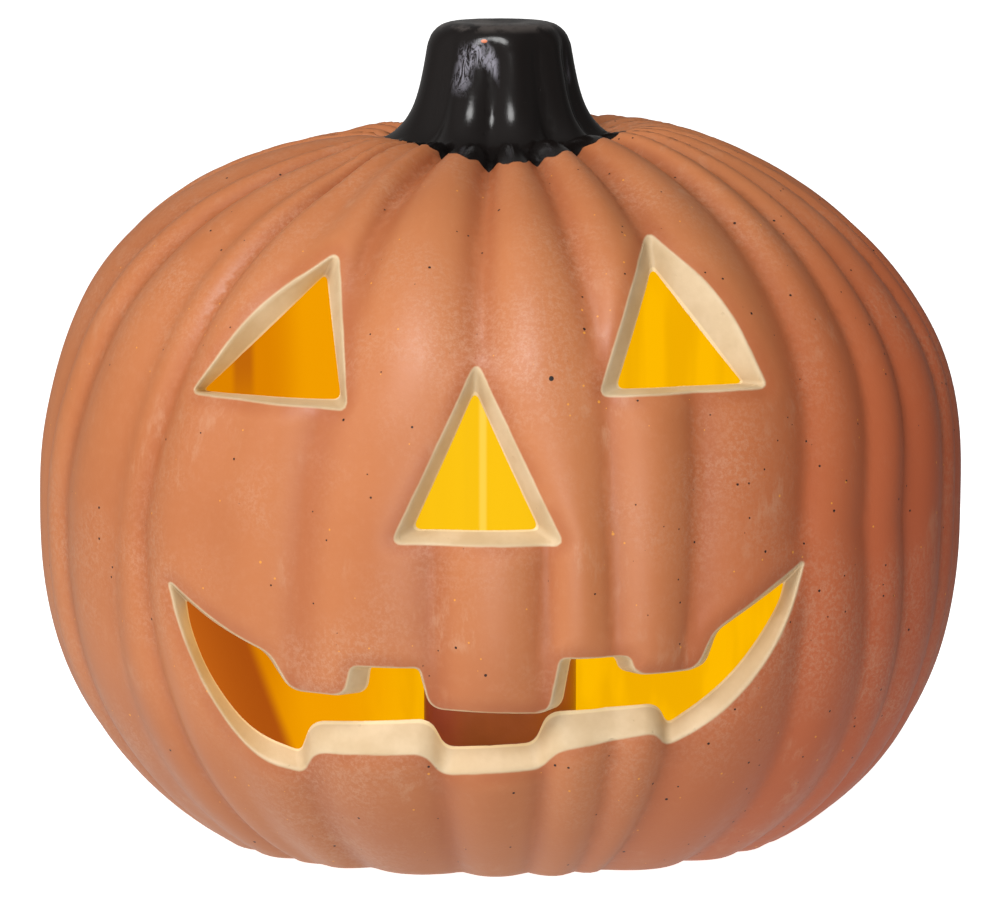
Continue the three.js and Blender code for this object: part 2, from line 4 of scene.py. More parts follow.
import bpy
import bmesh
import numpy as np
import openvdb
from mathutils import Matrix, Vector


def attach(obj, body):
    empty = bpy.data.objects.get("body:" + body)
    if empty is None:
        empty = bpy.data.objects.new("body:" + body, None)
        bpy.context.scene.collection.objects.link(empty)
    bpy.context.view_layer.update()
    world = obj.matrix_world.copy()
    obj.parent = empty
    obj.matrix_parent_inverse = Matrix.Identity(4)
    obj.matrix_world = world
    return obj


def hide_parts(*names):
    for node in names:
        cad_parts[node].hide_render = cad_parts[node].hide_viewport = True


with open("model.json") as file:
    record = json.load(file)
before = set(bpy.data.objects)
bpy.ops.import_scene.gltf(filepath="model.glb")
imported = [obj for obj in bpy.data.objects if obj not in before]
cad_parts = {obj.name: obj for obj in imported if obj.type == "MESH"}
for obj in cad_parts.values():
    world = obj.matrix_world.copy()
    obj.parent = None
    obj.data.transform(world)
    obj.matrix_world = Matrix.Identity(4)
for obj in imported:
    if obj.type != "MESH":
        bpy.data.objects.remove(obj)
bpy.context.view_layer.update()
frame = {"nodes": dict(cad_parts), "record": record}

MM = 0.001

# -------------------- driving dimensions
BODY_RADIUS = 115.0
BODY_CENTRE_Z = 87.3  # height of the widest ring
CROWN_HEIGHT, CROWN_POWER = 93.5, 2.32  # upper half's superellipse
BOWL_HEIGHT, BOWL_POWER = 99.8, 2.52  # lower half's superellipse
WALL = 6.8
INNER_RIBS = 0.35  # how much of the ribs' depth shows inside
FOOT_Z = 0.4  # underside of the foot's rim
PAD_SEAT_RADIUS, PAD_SEAT_TOP = 62.0, 1.5  # hollow inside the foot's rim, where the pads are stuck on
FLOOR_Z = 12.0  # top of the ceramic floor inside
DIMPLE_DEPTH, DIMPLE_RADIUS = 13.6, 27.8  # round the stem
CROWN_TILT = 0.03  # the left shoulder is a little fuller than the right
CROWN_LEAN = 0.08  # but beside the stem the right side is the higher one
BOWL_TILT = 2.2  # the bowl is lifted at the left
CROWN_FROM, CROWN_FULL = 90, 140  # heights between which these start to count above
BOWL_FROM, BOWL_FULL = 70, 20  # and below
BODY_LEAN = 1.3  # the body also stands this far to the right
LEAN_Z, LEAN_SPREAD = 124.0, 22.0  # round this height, and less further from it
RECESS_RADIUS, RECESS_TOP = 46.0, 5.3
HOLE_RADIUS = 36.0
STEM_X = -0.3
STEM_TOP = 203.7
STEM_RADIUS, STEM_TAPER = 16.9, 0.155  # at the top, and how fast it grows downwards
STEM_FLARE, FLARE_Z, FLARE_RISE = 5.6, 175.8, 4.6  # extra radius at a height, and how fast it goes above
STEM_WIDEST = 36.0
STEM_FOOT_Z = 160.0
STEM_EDGE = 7.0  # rounding of its top edge
TOP_DISH, TOP_DISH_RADIUS = 1.5, 9.0
FLUTE_DEPTH, FLUTE_FLARE = 1.3, 2.8  # along the stem, and extra at its foot
STEM_BORE, BORE_Z, BORE_HALF_HEIGHT = 11.0, 172.0, 24.0  # hollow inside the stem
LIP_ROLL, LIP_REACH = 0.9, 6.0  # how far the skin rolls in towards an opening, and from how far away
LIP_FILLET = 1.3  # rounding between the skin and the wall of an opening
SKIN_INSET = 0.35  # keeps the uneven skin inside the ideal form
SMOOTHED_RIBS, SMOOTHED_REACH = 0.35, 7.0  # share of the ribs' depth lost at an opening, and how far out
FACE_BACK_Y = -40.0  # the face's walls all lie in front of this
FIELD_STEP = 1.7  # spacing of the grid that the shell is drawn from
MOST_TRIANGLES = 175000  # before the openings are cut

EDGE_BEVEL, BEVEL_SEGMENTS, SHARP_ANGLE = 0.25, 2, 35.0  # rounding of the light unit's pieces

CAMERA_TILT = 7.0
CAMERA_DISTANCE = 2000.0
CAMERA_AIM_Z = 95.1
CAMERA_LENS = 288.9
SENSOR_WIDTH = 36.0

# Grooves between the ribs: azimuth in degrees from the front (+ towards +X) at the widest height, beside
# the stem and near the foot, depth, softness of the valley, and degrees above the widest height where the
# azimuth beside the stem is reached.
FRONT_GROOVES = [
    (-80, -66, -80, 1.6, 0.2, 75),
    (-71, -55, -71, 2.0, 0.2, 75),
    (-55, -44, -60, 1.2, 0.3, 75),
    (-50, -36, -47, 2.2, 0.12, 75),
    (-37.5, -29, -40, 0.8, 0.5, 75),
    (-24.5, -20, -29, 2.3, 0.25, 75),
    (-8, -3.3, -8, 2.6, 0.1, 20),
    (5.5, -3.2, 6, 2.6, 0.1, 20),
    (13.5, 10, 16, 2.2, 0.15, 75),
    (24.5, 25, 22, 2.4, 0.15, 75),
    (40, 46, 43, 2.3, 0.15, 75),
    (51, 58, 58, 1.6, 0.2, 75),
    (60.5, 68, 67, 2.0, 0.2, 75),
    (74, 80, 76, 1.6, 0.2, 75),
    (81, 89, 84, 1.4, 0.2, 75),
]
LOW_SPAN = 50  # degrees below the widest height where the azimuth near the foot is reached
BACK_GROOVE_COUNT, BACK_FROM, BACK_TO = 15, 93.0, 266.0
BACK_DEPTH, BACK_SOFTNESS, BACK_SPAN = 2.0, 0.2, 75
FLUTE_SOFTNESS = 0.2

# Flutes of the stem: azimuths of the grooves between them
STEM_GROOVES = [-43, -5, 33, 68, 112, 150, 188, 222, 250]

# Openings of the face. Each corner is x, z, rounding on the outer surface, then x, z on the inner surface.
SOFT = 99.0  # rounded over the whole of both edges, for a curved stretch
LEFT_EYE = [
    (-38.7, 153.0, 2.2, -41.5, 147.8),
    (-58.6, 140.4, SOFT, -56.6, 133.6),
    (-73.4, 119.9, 1.6, -71.1, 119.6),
    (-36.4, 118.3, 2.2, -37.7, 119.8),
]
RIGHT_EYE = [
    (35.2, 157.6, 2.2, 36.3, 149.4),
    (23.6, 122.0, 2.2, 27.4, 122.9),
    (63.3, 122.3, 1.6, 57.8, 122.7),
    (53.4, 143.2, SOFT, 46.3, 137),
]
NOSE = [
    (-5.6, 129.6, 2.6, -5.9, 122.8),
    (-25.4, 87.6, 2.4, -20.6, 90.3),
    (14.8, 87.4, 2.4, 9.2, 90.4),
]
MOUTH = [
    (-79.2, 74.4, 1, -75.3, 69.4),  # left corner, then down the curve of the lower lip
    (-76.4, 62.5, SOFT, -74.2, 62),
    (-69.4, 46.6, SOFT, -69.3, 50.2),
    (-59, 32.6, SOFT, -60, 38),
    (-47.2, 29.4, 1.8, -47.8, 33.8),  # lower left tooth
    (-44.5, 35.2, 3.2, -44.9, 42),
    (-17.7, 36.1, 3.2, -16.6, 44.1),
    (-13.7, 30.8, 2.4, -12.9, 36.9),
    (9.7, 32.5, 2.4, 8.1, 38.1),  # lower right tooth
    (13.2, 37.1, 3.2, 11.4, 46),
    (37.2, 41.2, 3.2, 37.4, 47.3),
    (39.6, 37.1, 1.8, 39.9, 41.7),
    (50.4, 42.6, SOFT, 50.5, 49),  # up the curve to the right corner
    (61.4, 53.4, SOFT, 58.5, 57),
    (69, 66.6, SOFT, 66.5, 69),
    (72.6, 80, 1, 67.9, 74.6),
    (50.9, 64.8, 2.2, 51.7, 64.3),  # upper right tooth
    (46.9, 55.6, 3.4, 48.6, 55.3),
    (32, 55.4, 3, 28.5, 55.5),
    (30.6, 59.9, 1.4, 27, 59.6),
    (14.4, 59.9, 1.4, 16.8, 59.7),  # upper middle tooth
    (11.7, 46.2, 3.6, 14.5, 46.5),
    (-16.7, 47.2, 3.6, -16.6, 47.2),
    (-19.2, 57.4, 1.4, -19.4, 57),
    (-35.2, 57.4, 1.6, -30.6, 57.2),  # upper left tooth
    (-36.8, 49.8, 3.4, -31.5, 50),
    (-50, 50.2, 3.4, -50.2, 49.7),
    (-54.9, 59.3, 2.6, -56, 58.8),
    (-67.3, 64.9, SOFT, -67, 63.5),
]


# -------------------- small maths
def smoothstep(low, high, x):
    t = np.clip((x - low) / (high - low), 0, 1)
    return t * t * (3 - 2 * t)


def soft_max(a, b, k):
    """The larger of two fields, with the edge between them rounded over about k."""
    return np.maximum(a, b) + np.maximum(k - np.abs(a - b), 0) ** 2 / (4 * k)


def soft_min(a, b, k):
    return -soft_max(-a, -b, k)


def sample(table, u, v):
    """Bilinear reading of a 2-D table at fractional rows u and columns v."""
    u = np.clip(u, 0, table.shape[0] - 1.001)
    v = np.clip(v, 0, table.shape[1] - 1.001)
    i, j = u.astype(int), v.astype(int)
    s, t = u - i, v - j
    low = table[i, j] * (1 - t) + table[i, j + 1] * t
    high = table[i + 1, j] * (1 - t) + table[i + 1, j + 1] * t
    return low * (1 - s) + high * s


# -------------------- ribs
ANGLE_ROWS = 181  # one row per degree down from straight up
AZIMUTH_COLUMNS = 1440


def all_grooves():
    pitch = (BACK_TO - BACK_FROM) / (BACK_GROOVE_COUNT - 1)
    back = []
    for i in range(BACK_GROOVE_COUNT):
        mid = BACK_FROM + pitch * i + 1.4 * math.sin(2.1 * i)
        back.append((mid, mid, mid, BACK_DEPTH + 0.4 * math.sin(3.3 * i), BACK_SOFTNESS, BACK_SPAN))
    return FRONT_GROOVES + back


def cusp(share, softness):
    """1 at a groove and 0 at share 1, with a valley as sharp as softness is small."""
    lowest = 1 - softness / math.sqrt(1 + softness**2)
    value = 1 - np.sqrt(np.clip(share, 0, 1) ** 2 + softness**2) / math.sqrt(1 + softness**2)
    return (value / lowest) ** 2


def lobes(azimuths, grooves):
    """Depth below the crests round one ring, from (azimuth, depth, softness) of each groove."""
    order = sorted(zip(azimuths, grooves))
    turn = np.arange(AZIMUTH_COLUMNS) * 360.0 / AZIMUTH_COLUMNS
    ring = np.zeros(AZIMUTH_COLUMNS)
    for k, (start, (depth, softness)) in enumerate(order):
        end, (next_depth, next_softness) = order[(k + 1) % len(order)]
        width = max((end - start) % 360, 1e-3)
        share = ((turn - start) % 360) / width
        here = share < 1
        u = share[here]
        lobe = depth * cusp(2 * u, softness) + next_depth * cusp(2 * (1 - u), next_softness)
        between = depth * (1 - u) + next_depth * u
        lift = float(smoothstep(2.0, 9.0, np.array(width)))
        ring[here] = between * (1 - lift) + lobe * lift
    return ring


def rib_tables():
    """Rib depth, and degrees to the nearest groove, by polar angle and azimuth."""
    table = np.zeros((ANGLE_ROWS, AZIMUTH_COLUMNS + 1))
    offsets = np.zeros((ANGLE_ROWS, AZIMUTH_COLUMNS + 1))
    turn = np.arange(AZIMUTH_COLUMNS + 1) * 360.0 / AZIMUTH_COLUMNS
    grooves = all_grooves()
    for row in range(ANGLE_ROWS):
        up = 90 - row
        azimuths = []
        for mid, top, low, _, _, span in grooves:
            if up > 0:
                azimuths.append(mid + (top - mid) * min(1, up / span))
            else:
                azimuths.append(mid + (low - mid) * min(1, -up / LOW_SPAN))
        deeper = 1.2 + 0.7 * min(1, up / 60) ** 2 if up > 0 else 1.2 - 0.25 * min(1, -up / LOW_SPAN)
        deeper *= min(1, row / 15)
        ring = lobes(azimuths, [(g[3] * deeper, g[4]) for g in grooves])
        table[row, :-1] = ring
        table[row, -1] = ring[0]
        away = (turn[:, None] - np.array(azimuths)[None, :] + 180) % 360 - 180
        offsets[row] = np.take_along_axis(away, np.abs(away).argmin(1)[:, None], 1)[:, 0]
    return table, offsets


RIBS, GROOVE_OFFSETS = rib_tables()


def by_direction(table, angle, azimuth):
    return sample(table, np.degrees(angle), (np.degrees(azimuth) % 360) * AZIMUTH_COLUMNS / 360)


# -------------------- openings
def rounded_outline(corners, steps=10):
    """The closed outline through (x, z, rounding) corners, each rounded by a short curve."""
    points = []
    count = len(corners)
    for k, (x, z, rounding) in enumerate(corners):
        at = np.array((x, z), float)
        before = np.array(corners[k - 1][:2], float)
        after = np.array(corners[(k + 1) % count][:2], float)
        start = at + (before - at) * min(rounding / np.linalg.norm(before - at), 0.5)
        end = at + (after - at) * min(rounding / np.linalg.norm(after - at), 0.5)
        for s in range(steps + 1):
            t = s / steps
            points.append((1 - t) ** 2 * start + 2 * t * (1 - t) * at + t**2 * end)
    return np.array(points)


def paired_outlines(opening, longest=3.0):
    """The opening's outlines on the skin and inside, with matching points along the long edges too."""
    outer = rounded_outline([c[:3] for c in opening])
    inner = rounded_outline([(c[3], c[4], c[2]) for c in opening])
    rows = []
    for k in range(len(outer)):
        here, there = np.append(outer[k - 1], inner[k - 1]), np.append(outer[k], inner[k])
        length = np.linalg.norm(there[:2] - here[:2])
        if length < 0.02:
            continue
        pieces = int(np.ceil(length / longest))
        rows += [here + (there - here) * i / pieces for i in range(pieces)]
    rows = np.array(rows)
    return rows[:, :2], rows[:, 2:]


MAP_X0, MAP_Z0, MAP_STEP = -105.0, 5.0, 0.75
MAP_COLUMNS, MAP_ROWS = 281, 241


def distance_map(outlines):
    """Signed distance to the nearest outline over the face, below zero inside an opening."""
    x = MAP_X0 + MAP_STEP * np.arange(MAP_COLUMNS)
    z = MAP_Z0 + MAP_STEP * np.arange(MAP_ROWS)
    px, pz = np.meshgrid(x, z, indexing="ij")
    best = np.full(px.shape, 1e3)
    for outline in outlines:
        near = np.full(px.shape, 1e9)
        inside = np.zeros(px.shape, bool)
        for (ax, az), (bx, bz) in zip(outline, np.roll(outline, -1, axis=0)):
            ex, ez = bx - ax, bz - az
            length = ex * ex + ez * ez
            if length < 1e-12:
                continue
            t = np.clip(((px - ax) * ex + (pz - az) * ez) / length, 0, 1)
            near = np.minimum(near, (px - ax - t * ex) ** 2 + (pz - az - t * ez) ** 2)
            crosses = (az > pz) != (bz > pz)
            with np.errstate(divide="ignore", invalid="ignore"):
                inside ^= crosses & (px < ex * (pz - az) / ez + ax)
        best = np.minimum(best, np.where(inside, -1, 1) * np.sqrt(near))
    return best


FACE = [LEFT_EYE, RIGHT_EYE, NOSE, MOUTH]
FACE_MAP = distance_map([rounded_outline([c[:3] for c in opening]) for opening in FACE])


def outline_distance(x, y, z):
    """Distance from the nearest opening's outline on the skin, seen from the front; more behind the face."""
    u, v = (x - MAP_X0) / MAP_STEP, (z - MAP_Z0) / MAP_STEP
    return sample(FACE_MAP, u, v) + np.maximum(y + 30, 0)


# -------------------- the shell as a field, below zero inside
def envelope(angle, inset=0.0):
    upper = angle < math.pi / 2
    power = np.where(upper, CROWN_POWER, BOWL_POWER)
    height = np.where(upper, CROWN_HEIGHT, BOWL_HEIGHT) - inset
    across = np.sin(angle) / (BODY_RADIUS - inset)
    along = np.abs(np.cos(angle)) / height
    return (across**power + along**power) ** (-1 / power)


def undulation(x, y, z):
    """Slow, slight unevenness of the hand-finished surface."""
    slow = np.sin(x / 17 + 1.3) * np.sin(y / 21 + 0.4) * np.sin(z / 19 + 2.1)
    quick = np.sin(x / 6.1 + z / 8.3) * np.sin(y / 7.3 - z / 9.7 + 0.8)
    return 0.17 * slow + 0.05 * quick


def stem_radius(z):
    straight = STEM_RADIUS + STEM_TAPER * (STEM_TOP - z)
    flare = STEM_FLARE * np.exp(-(z - FLARE_Z) / FLARE_RISE)
    return soft_min(straight + flare, np.full_like(z, STEM_WIDEST), 4)


STEM_RING = lobes(STEM_GROOVES, [(1.0, FLUTE_SOFTNESS)] * len(STEM_GROOVES))
STEM_RING = np.append(STEM_RING, STEM_RING[0])


def stem_field(x, y, z):
    radius = np.hypot(x - STEM_X, y)
    azimuth = np.degrees(np.arctan2(x - STEM_X, -y)) % 360
    flute = np.interp(azimuth, np.linspace(0, 360, len(STEM_RING)), STEM_RING)
    depth = (FLUTE_DEPTH + FLUTE_FLARE * np.exp(-np.maximum(z - 174, 0) / 7)) * smoothstep(205, 194, z)
    side = (radius - stem_radius(z) + depth * flute) * 0.85
    top = z - STEM_TOP + TOP_DISH * np.exp(-((radius / TOP_DISH_RADIUS) ** 2))
    return np.maximum(soft_max(side, top, STEM_EDGE), STEM_FOOT_Z - z)


def shell_terms(x, y, z):
    """The fields that the shell is joined from, each below zero on its own inner side."""
    outline = outline_distance(x, y, z)
    stem = stem_field(x, y, z)
    x = x - BODY_LEAN * np.exp(-(((z - LEAN_Z) / LEAN_SPREAD) ** 2))
    radius = np.hypot(x, y)
    crown = smoothstep(CROWN_FROM, CROWN_FULL, z)
    dimple = DIMPLE_DEPTH * np.exp(-((radius / DIMPLE_RADIUS) ** 3))
    leaning = np.where(x > 0, 1.0, smoothstep(-28, -42, x))
    lean = CROWN_TILT * x * (x / BODY_RADIUS) ** 2 - CROWN_LEAN * leaning * x * np.exp(-((x / 45) ** 2))
    bowl = smoothstep(BOWL_FROM, BOWL_FULL, z) * smoothstep(-55, -95, x)
    lifted = z + crown * (dimple + lean) - BOWL_TILT * bowl
    height = lifted - BODY_CENTRE_Z
    distance = np.sqrt(radius**2 + height**2)
    angle = np.arccos(np.clip(height / np.maximum(distance, 1e-6), -1, 1))
    azimuth = np.arctan2(x, -y)
    ribs = by_direction(RIBS, angle, azimuth)
    roll = LIP_ROLL * np.clip(1 - np.maximum(outline, 0) / LIP_REACH, 0, 1) ** 2
    calm = 1 - SMOOTHED_RIBS * smoothstep(SMOOTHED_REACH, 0, outline)
    body = distance - envelope(angle) + ribs * calm + roll + undulation(x, y, z) + SKIN_INSET
    cavity = np.maximum(distance - envelope(angle, WALL) + INNER_RIBS * ribs, FLOOR_Z - z)
    return {
        "body": body,
        "stem": stem,
        "outline": outline,
        "cavity": cavity,
        "ribs": ribs,
        "crease": np.radians(by_direction(GROOVE_OFFSETS, angle, azimuth)) * radius,
    }


def uncut(terms, x, y, z):
    """The shell before its openings are cut."""
    radius = np.hypot(x, y)
    bore = np.hypot(x - STEM_X, y) - STEM_BORE + (z - STEM_FOOT_Z) * 0.1
    stem_hollow = np.maximum(bore, np.abs(z - BORE_Z) - BORE_HALF_HEIGHT)
    solid = soft_min(terms["body"], terms["stem"], 2.5)
    inwards = smoothstep(PAD_SEAT_RADIUS + 3, PAD_SEAT_RADIUS - 2, radius)
    underside = FOOT_Z + (PAD_SEAT_TOP - FOOT_Z) * inwards
    solid = soft_max(solid, underside - z, 1.2)
    solid = soft_max(solid, -np.minimum(terms["cavity"], stem_hollow), 0.6)
    recess = np.maximum(radius - RECESS_RADIUS, z - RECESS_TOP)
    hole = np.maximum(radius - HOLE_RADIUS, z - FLOOR_Z - 3)
    solid = soft_max(solid, -recess, 1.0)
    return soft_max(solid, -hole, 1.0)


def shell_field(x, y, z):
    return uncut(shell_terms(x, y, z), x, y, z)


def slopes(field, p, step=0.25):
    """Gradients at points p of a field that gives one number, or a row of them, per point."""
    parts = []
    for axis in range(3):
        ahead, back = p.copy(), p.copy()
        ahead[:, axis] += step
        back[:, axis] -= step
        parts.append((field(*ahead.T) - field(*back.T)) / (2 * step))
    return np.stack(parts, axis=-1)


def settle(p, rounds=3, most=0.6):
    """Points moved onto the shell's surface."""
    for _ in range(rounds):
        g = slopes(shell_field, p)
        size = np.maximum((g**2).sum(1), 0.05)
        p = p + np.clip(-(shell_field(*p.T) / size)[:, None] * g, -most, most)
    return p


def snap_to_creases(p, cells):
    """Points moved into the line of a groove, for each point whose own grid cell that line crosses."""

    def pair(x, y, z):
        terms = shell_terms(x, y, z)
        return np.stack([terms["body"], terms["crease"]])

    near = np.abs(pair(*p.T)).max(0) < 2 * FIELD_STEP
    q = p[near]
    for _ in range(4):
        f = pair(*q.T)
        j = slopes(pair, q)
        a, b, c = (j[0] ** 2).sum(1), (j[0] * j[1]).sum(1), (j[1] ** 2).sum(1)
        scale = np.maximum(a * c - b * b, 1e-3)
        u, v = (c * f[0] - b * f[1]) / scale, (a * f[1] - b * f[0]) / scale
        q = q - np.clip(u[:, None] * j[0] + v[:, None] * j[1], -1, 1)
    held = np.abs(q - cells[near]).max(1) < 0.58 * FIELD_STEP
    moved = np.zeros(len(p), bool)
    moved[np.flatnonzero(near)[held]] = True
    p = p.copy()
    p[moved] = settle(q[held], 2)
    return p


def draw_shell():
    """Points and faces of the uncut shell's surface, with a row of points along every groove."""
    reach = BODY_RADIUS + 3 * FIELD_STEP
    xs = np.arange(-reach, reach + FIELD_STEP, FIELD_STEP)
    zs = np.arange(-2 * FIELD_STEP, STEM_TOP + 3 * FIELD_STEP, FIELD_STEP)
    x, y, z = np.meshgrid(xs, xs, zs, indexing="ij")
    values = shell_field(x.ravel(), y.ravel(), z.ravel()).reshape(x.shape)
    grid = openvdb.FloatGrid(3.0)
    grid.copyFromArray(np.clip(values / FIELD_STEP, -3, 3).astype(np.float32))
    points, triangles, quads = grid.convertToPolygons(isovalue=0.0, adaptivity=0.0)
    start = np.array([xs[0], xs[0], zs[0]])
    cells = (np.floor(points) + 0.5) * FIELD_STEP + start
    p = snap_to_creases(settle(points.astype(float) * FIELD_STEP + start), cells)
    faces = [tuple(int(i) for i in f) for f in quads] + [tuple(int(i) for i in f) for f in triangles]
    return p, faces


def points_of(mesh):
    points = np.empty(len(mesh.vertices) * 3)
    mesh.vertices.foreach_get("co", points)
    return points.reshape(-1, 3) / MM


def face_outwards(mesh):
    points = points_of(mesh)
    corners = np.array([polygon.vertices[0] for polygon in mesh.polygons])[::50]
    facing = np.array([polygon.normal[:] for polygon in mesh.polygons])[::50]
    if (facing * slopes(shell_field, points[corners])).sum() < 0:
        mesh.flip_normals()


def with_modifier(mesh, kind, extra=None, **settings):
    """The mesh after one modifier."""
    holder = bpy.data.objects.new("holder", mesh)
    bpy.context.scene.collection.objects.link(holder)
    if extra is not None:
        group = holder.vertex_groups.new(name="thin")
        group.add(extra, 1.0, "REPLACE")
    modifier = holder.modifiers.new("change", kind)
    for name, value in settings.items():
        setattr(modifier, name, value)
    evaluated = holder.evaluated_get(bpy.context.evaluated_depsgraph_get())
    result = bpy.data.meshes.new_from_object(evaluated)
    bpy.data.objects.remove(holder)
    return result


def thinned(mesh):
    """The mesh with the triangles of its inner surface merged, down to the limit."""
    triangles = sum(len(polygon.vertices) - 2 for polygon in mesh.polygons)
    cavity = shell_terms(*points_of(mesh).T)["cavity"]
    inner = [int(i) for i in np.flatnonzero(np.abs(cavity) < 0.3)]
    ratio = MOST_TRIANGLES / triangles
    return with_modifier(mesh, "DECIMATE", inner, vertex_group="thin", ratio=ratio)


def depth_along_y(name, outline):
    """The y where one of the shell's surfaces lies behind each (x, z) point of an outline on the face."""
    x, z = outline.T
    near, far = np.full(len(x), -BODY_RADIUS - 5), np.full(len(x), FACE_BACK_Y)
    for _ in range(30):
        middle = (near + far) / 2
        outside = shell_terms(x, middle, z)[name] > 0
        near, far = np.where(outside, middle, near), np.where(outside, far, middle)
    return (near + far) / 2


def unit(vectors):
    return vectors / np.maximum(np.linalg.norm(vectors, axis=-1, keepdims=True), 1e-9)


def opening_cutter(opening, material):
    """The solid that an opening removes: a rounded edge at the skin, a tapering wall, and on inside."""
    outer, inner = paired_outlines(opening)
    count = len(outer)
    skin, inside = depth_along_y("body", outer), depth_along_y("cavity", inner)
    on_skin = np.stack([outer[:, 0], skin, outer[:, 1]], axis=1)
    on_inner = np.stack([inner[:, 0], inside, inner[:, 1]], axis=1)
    out = unit(slopes(lambda x, y, z: shell_terms(x, y, z)["body"], on_skin, 1.0))
    along = unit(np.roll(on_skin, -1, axis=0) - np.roll(on_skin, 1, axis=0))
    away = unit(np.cross(out, along))
    if (away * (on_skin - on_skin.mean(0))).sum() < 0:
        away = -away
    start = on_skin + LIP_FILLET * (0.9 * away + 0.32 * out)
    end = on_skin + LIP_FILLET * unit(on_inner - on_skin)
    clear = start + (start - on_skin) * 0.8
    front, back = clear.copy(), on_inner.copy()
    front[:, 1], back[:, 1] = -BODY_RADIUS - 20, FACE_BACK_Y - 5
    shares = (0, 0.2, 0.4, 0.6, 0.8, 1)
    curve = [(1 - t) ** 2 * start + 2 * t * (1 - t) * on_skin + t**2 * end for t in shares]
    rings = [front, clear, *curve, on_inner + (end - on_inner) * 0.25, on_inner, back]
    faces = [tuple(range(count))]
    for ring in range(len(rings) - 1):
        for k in range(count):
            a, b = ring * count + k, ring * count + (k + 1) % count
            faces.append((a, a + count, b + count, b))
    faces.append(tuple(range(len(rings) * count - 1, (len(rings) - 1) * count - 1, -1)))
    mesh = bpy.data.meshes.new("cutter")
    mesh.from_pydata((np.concatenate(rings) * MM).tolist(), [], faces)
    mesh.materials.append(material)
    tidy = bmesh.new()
    tidy.from_mesh(mesh)
    bmesh.ops.recalc_face_normals(tidy, faces=tidy.faces)
    tidy.to_mesh(mesh)
    tidy.free()
    return mesh


def cut_opening(mesh, opening, wall_material):
    cutter = bpy.data.objects.new("cutter", opening_cutter(opening, wall_material))
    bpy.context.scene.collection.objects.link(cutter)
    result = with_modifier(
        mesh, "BOOLEAN", operation="DIFFERENCE", solver="MANIFOLD", object=cutter, material_mode="TRANSFER"
    )
    bpy.data.objects.remove(cutter)
    return result


def add_attribute(mesh, name, values, domain="POINT"):
    attribute = mesh.attributes.new(name, "FLOAT", domain)
    attribute.data.foreach_set("value", np.asarray(values, np.float32))


def shade_shell(mesh):
    """Exact normals from the field on the skin and inside, and even ones on the walls of the openings."""
    points = points_of(mesh)
    smooth = unit(slopes(shell_field, points))
    terms = shell_terms(*points.T)
    corner_points = np.empty(len(mesh.loops), int)
    mesh.loops.foreach_get("vertex_index", corner_points)
    sides = np.empty(len(mesh.polygons), int)
    mesh.polygons.foreach_get("loop_total", sides)
    painted = np.empty(len(mesh.polygons), int)
    mesh.polygons.foreach_get("material_index", painted)
    facing = np.empty(len(mesh.polygons) * 3)
    mesh.polygons.foreach_get("normal", facing)
    area = np.empty(len(mesh.polygons))
    mesh.polygons.foreach_get("area", area)
    on_wall = np.repeat(painted > 0, sides)
    weighted = np.repeat(facing.reshape(-1, 3) * area[:, None], sides, axis=0)[on_wall]
    walls = np.zeros((len(points), 3))
    for axis in range(3):
        walls[:, axis] = np.bincount(corner_points[on_wall], weighted[:, axis], len(points))
    walls = unit(walls)
    at_edge = (np.abs(terms["body"]) < 0.12) & (terms["outline"] > 0.1)
    walls[at_edge] = smooth[at_edge]
    normals = np.where(on_wall[:, None], walls[corner_points], smooth[corner_points])
    mesh.polygons.foreach_set("use_smooth", [True] * len(mesh.polygons))
    mesh.polygons.foreach_set("material_index", [0] * len(mesh.polygons))
    mesh.materials.pop()
    mesh.normals_split_custom_set(normals.tolist())
    add_attribute(mesh, "lip", np.clip(terms["outline"], -5, 20))
    add_attribute(mesh, "cavity", np.where(points[:, 2] > 8, np.clip(terms["cavity"], -1, 5), 5))
    inside = (np.abs(terms["cavity"]) < 0.4) & (points[:, 2] > 8)
    add_attribute(mesh, "indoors", inside[corner_points] & ~on_wall, "CORNER")
    add_attribute(mesh, "groove", terms["ribs"])
    add_attribute(mesh, "stem", np.clip(terms["stem"], -6, 30))


def pumpkin_shell(material):
    points, faces = draw_shell()
    mesh = bpy.data.meshes.new("pumpkin_shell")
    mesh.from_pydata((points * MM).tolist(), [], faces)
    face_outwards(mesh)
    mesh.materials.append(material)
    mesh = thinned(mesh)
    wall_mark = bpy.data.materials.new("wall_mark")
    for opening in FACE:
        mesh = cut_opening(mesh, opening, wall_mark)
    mesh.name = "pumpkin_shell"
    shade_shell(mesh)
    shell = bpy.data.objects.new("pumpkin_shell", mesh)
    bpy.context.scene.collection.objects.link(shell)
    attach(shell, "pumpkin")
    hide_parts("shell")
    triangles = sum(len(polygon.vertices) - 2 for polygon in mesh.polygons)
    print("shell", len(mesh.vertices), "points", triangles, "triangles")


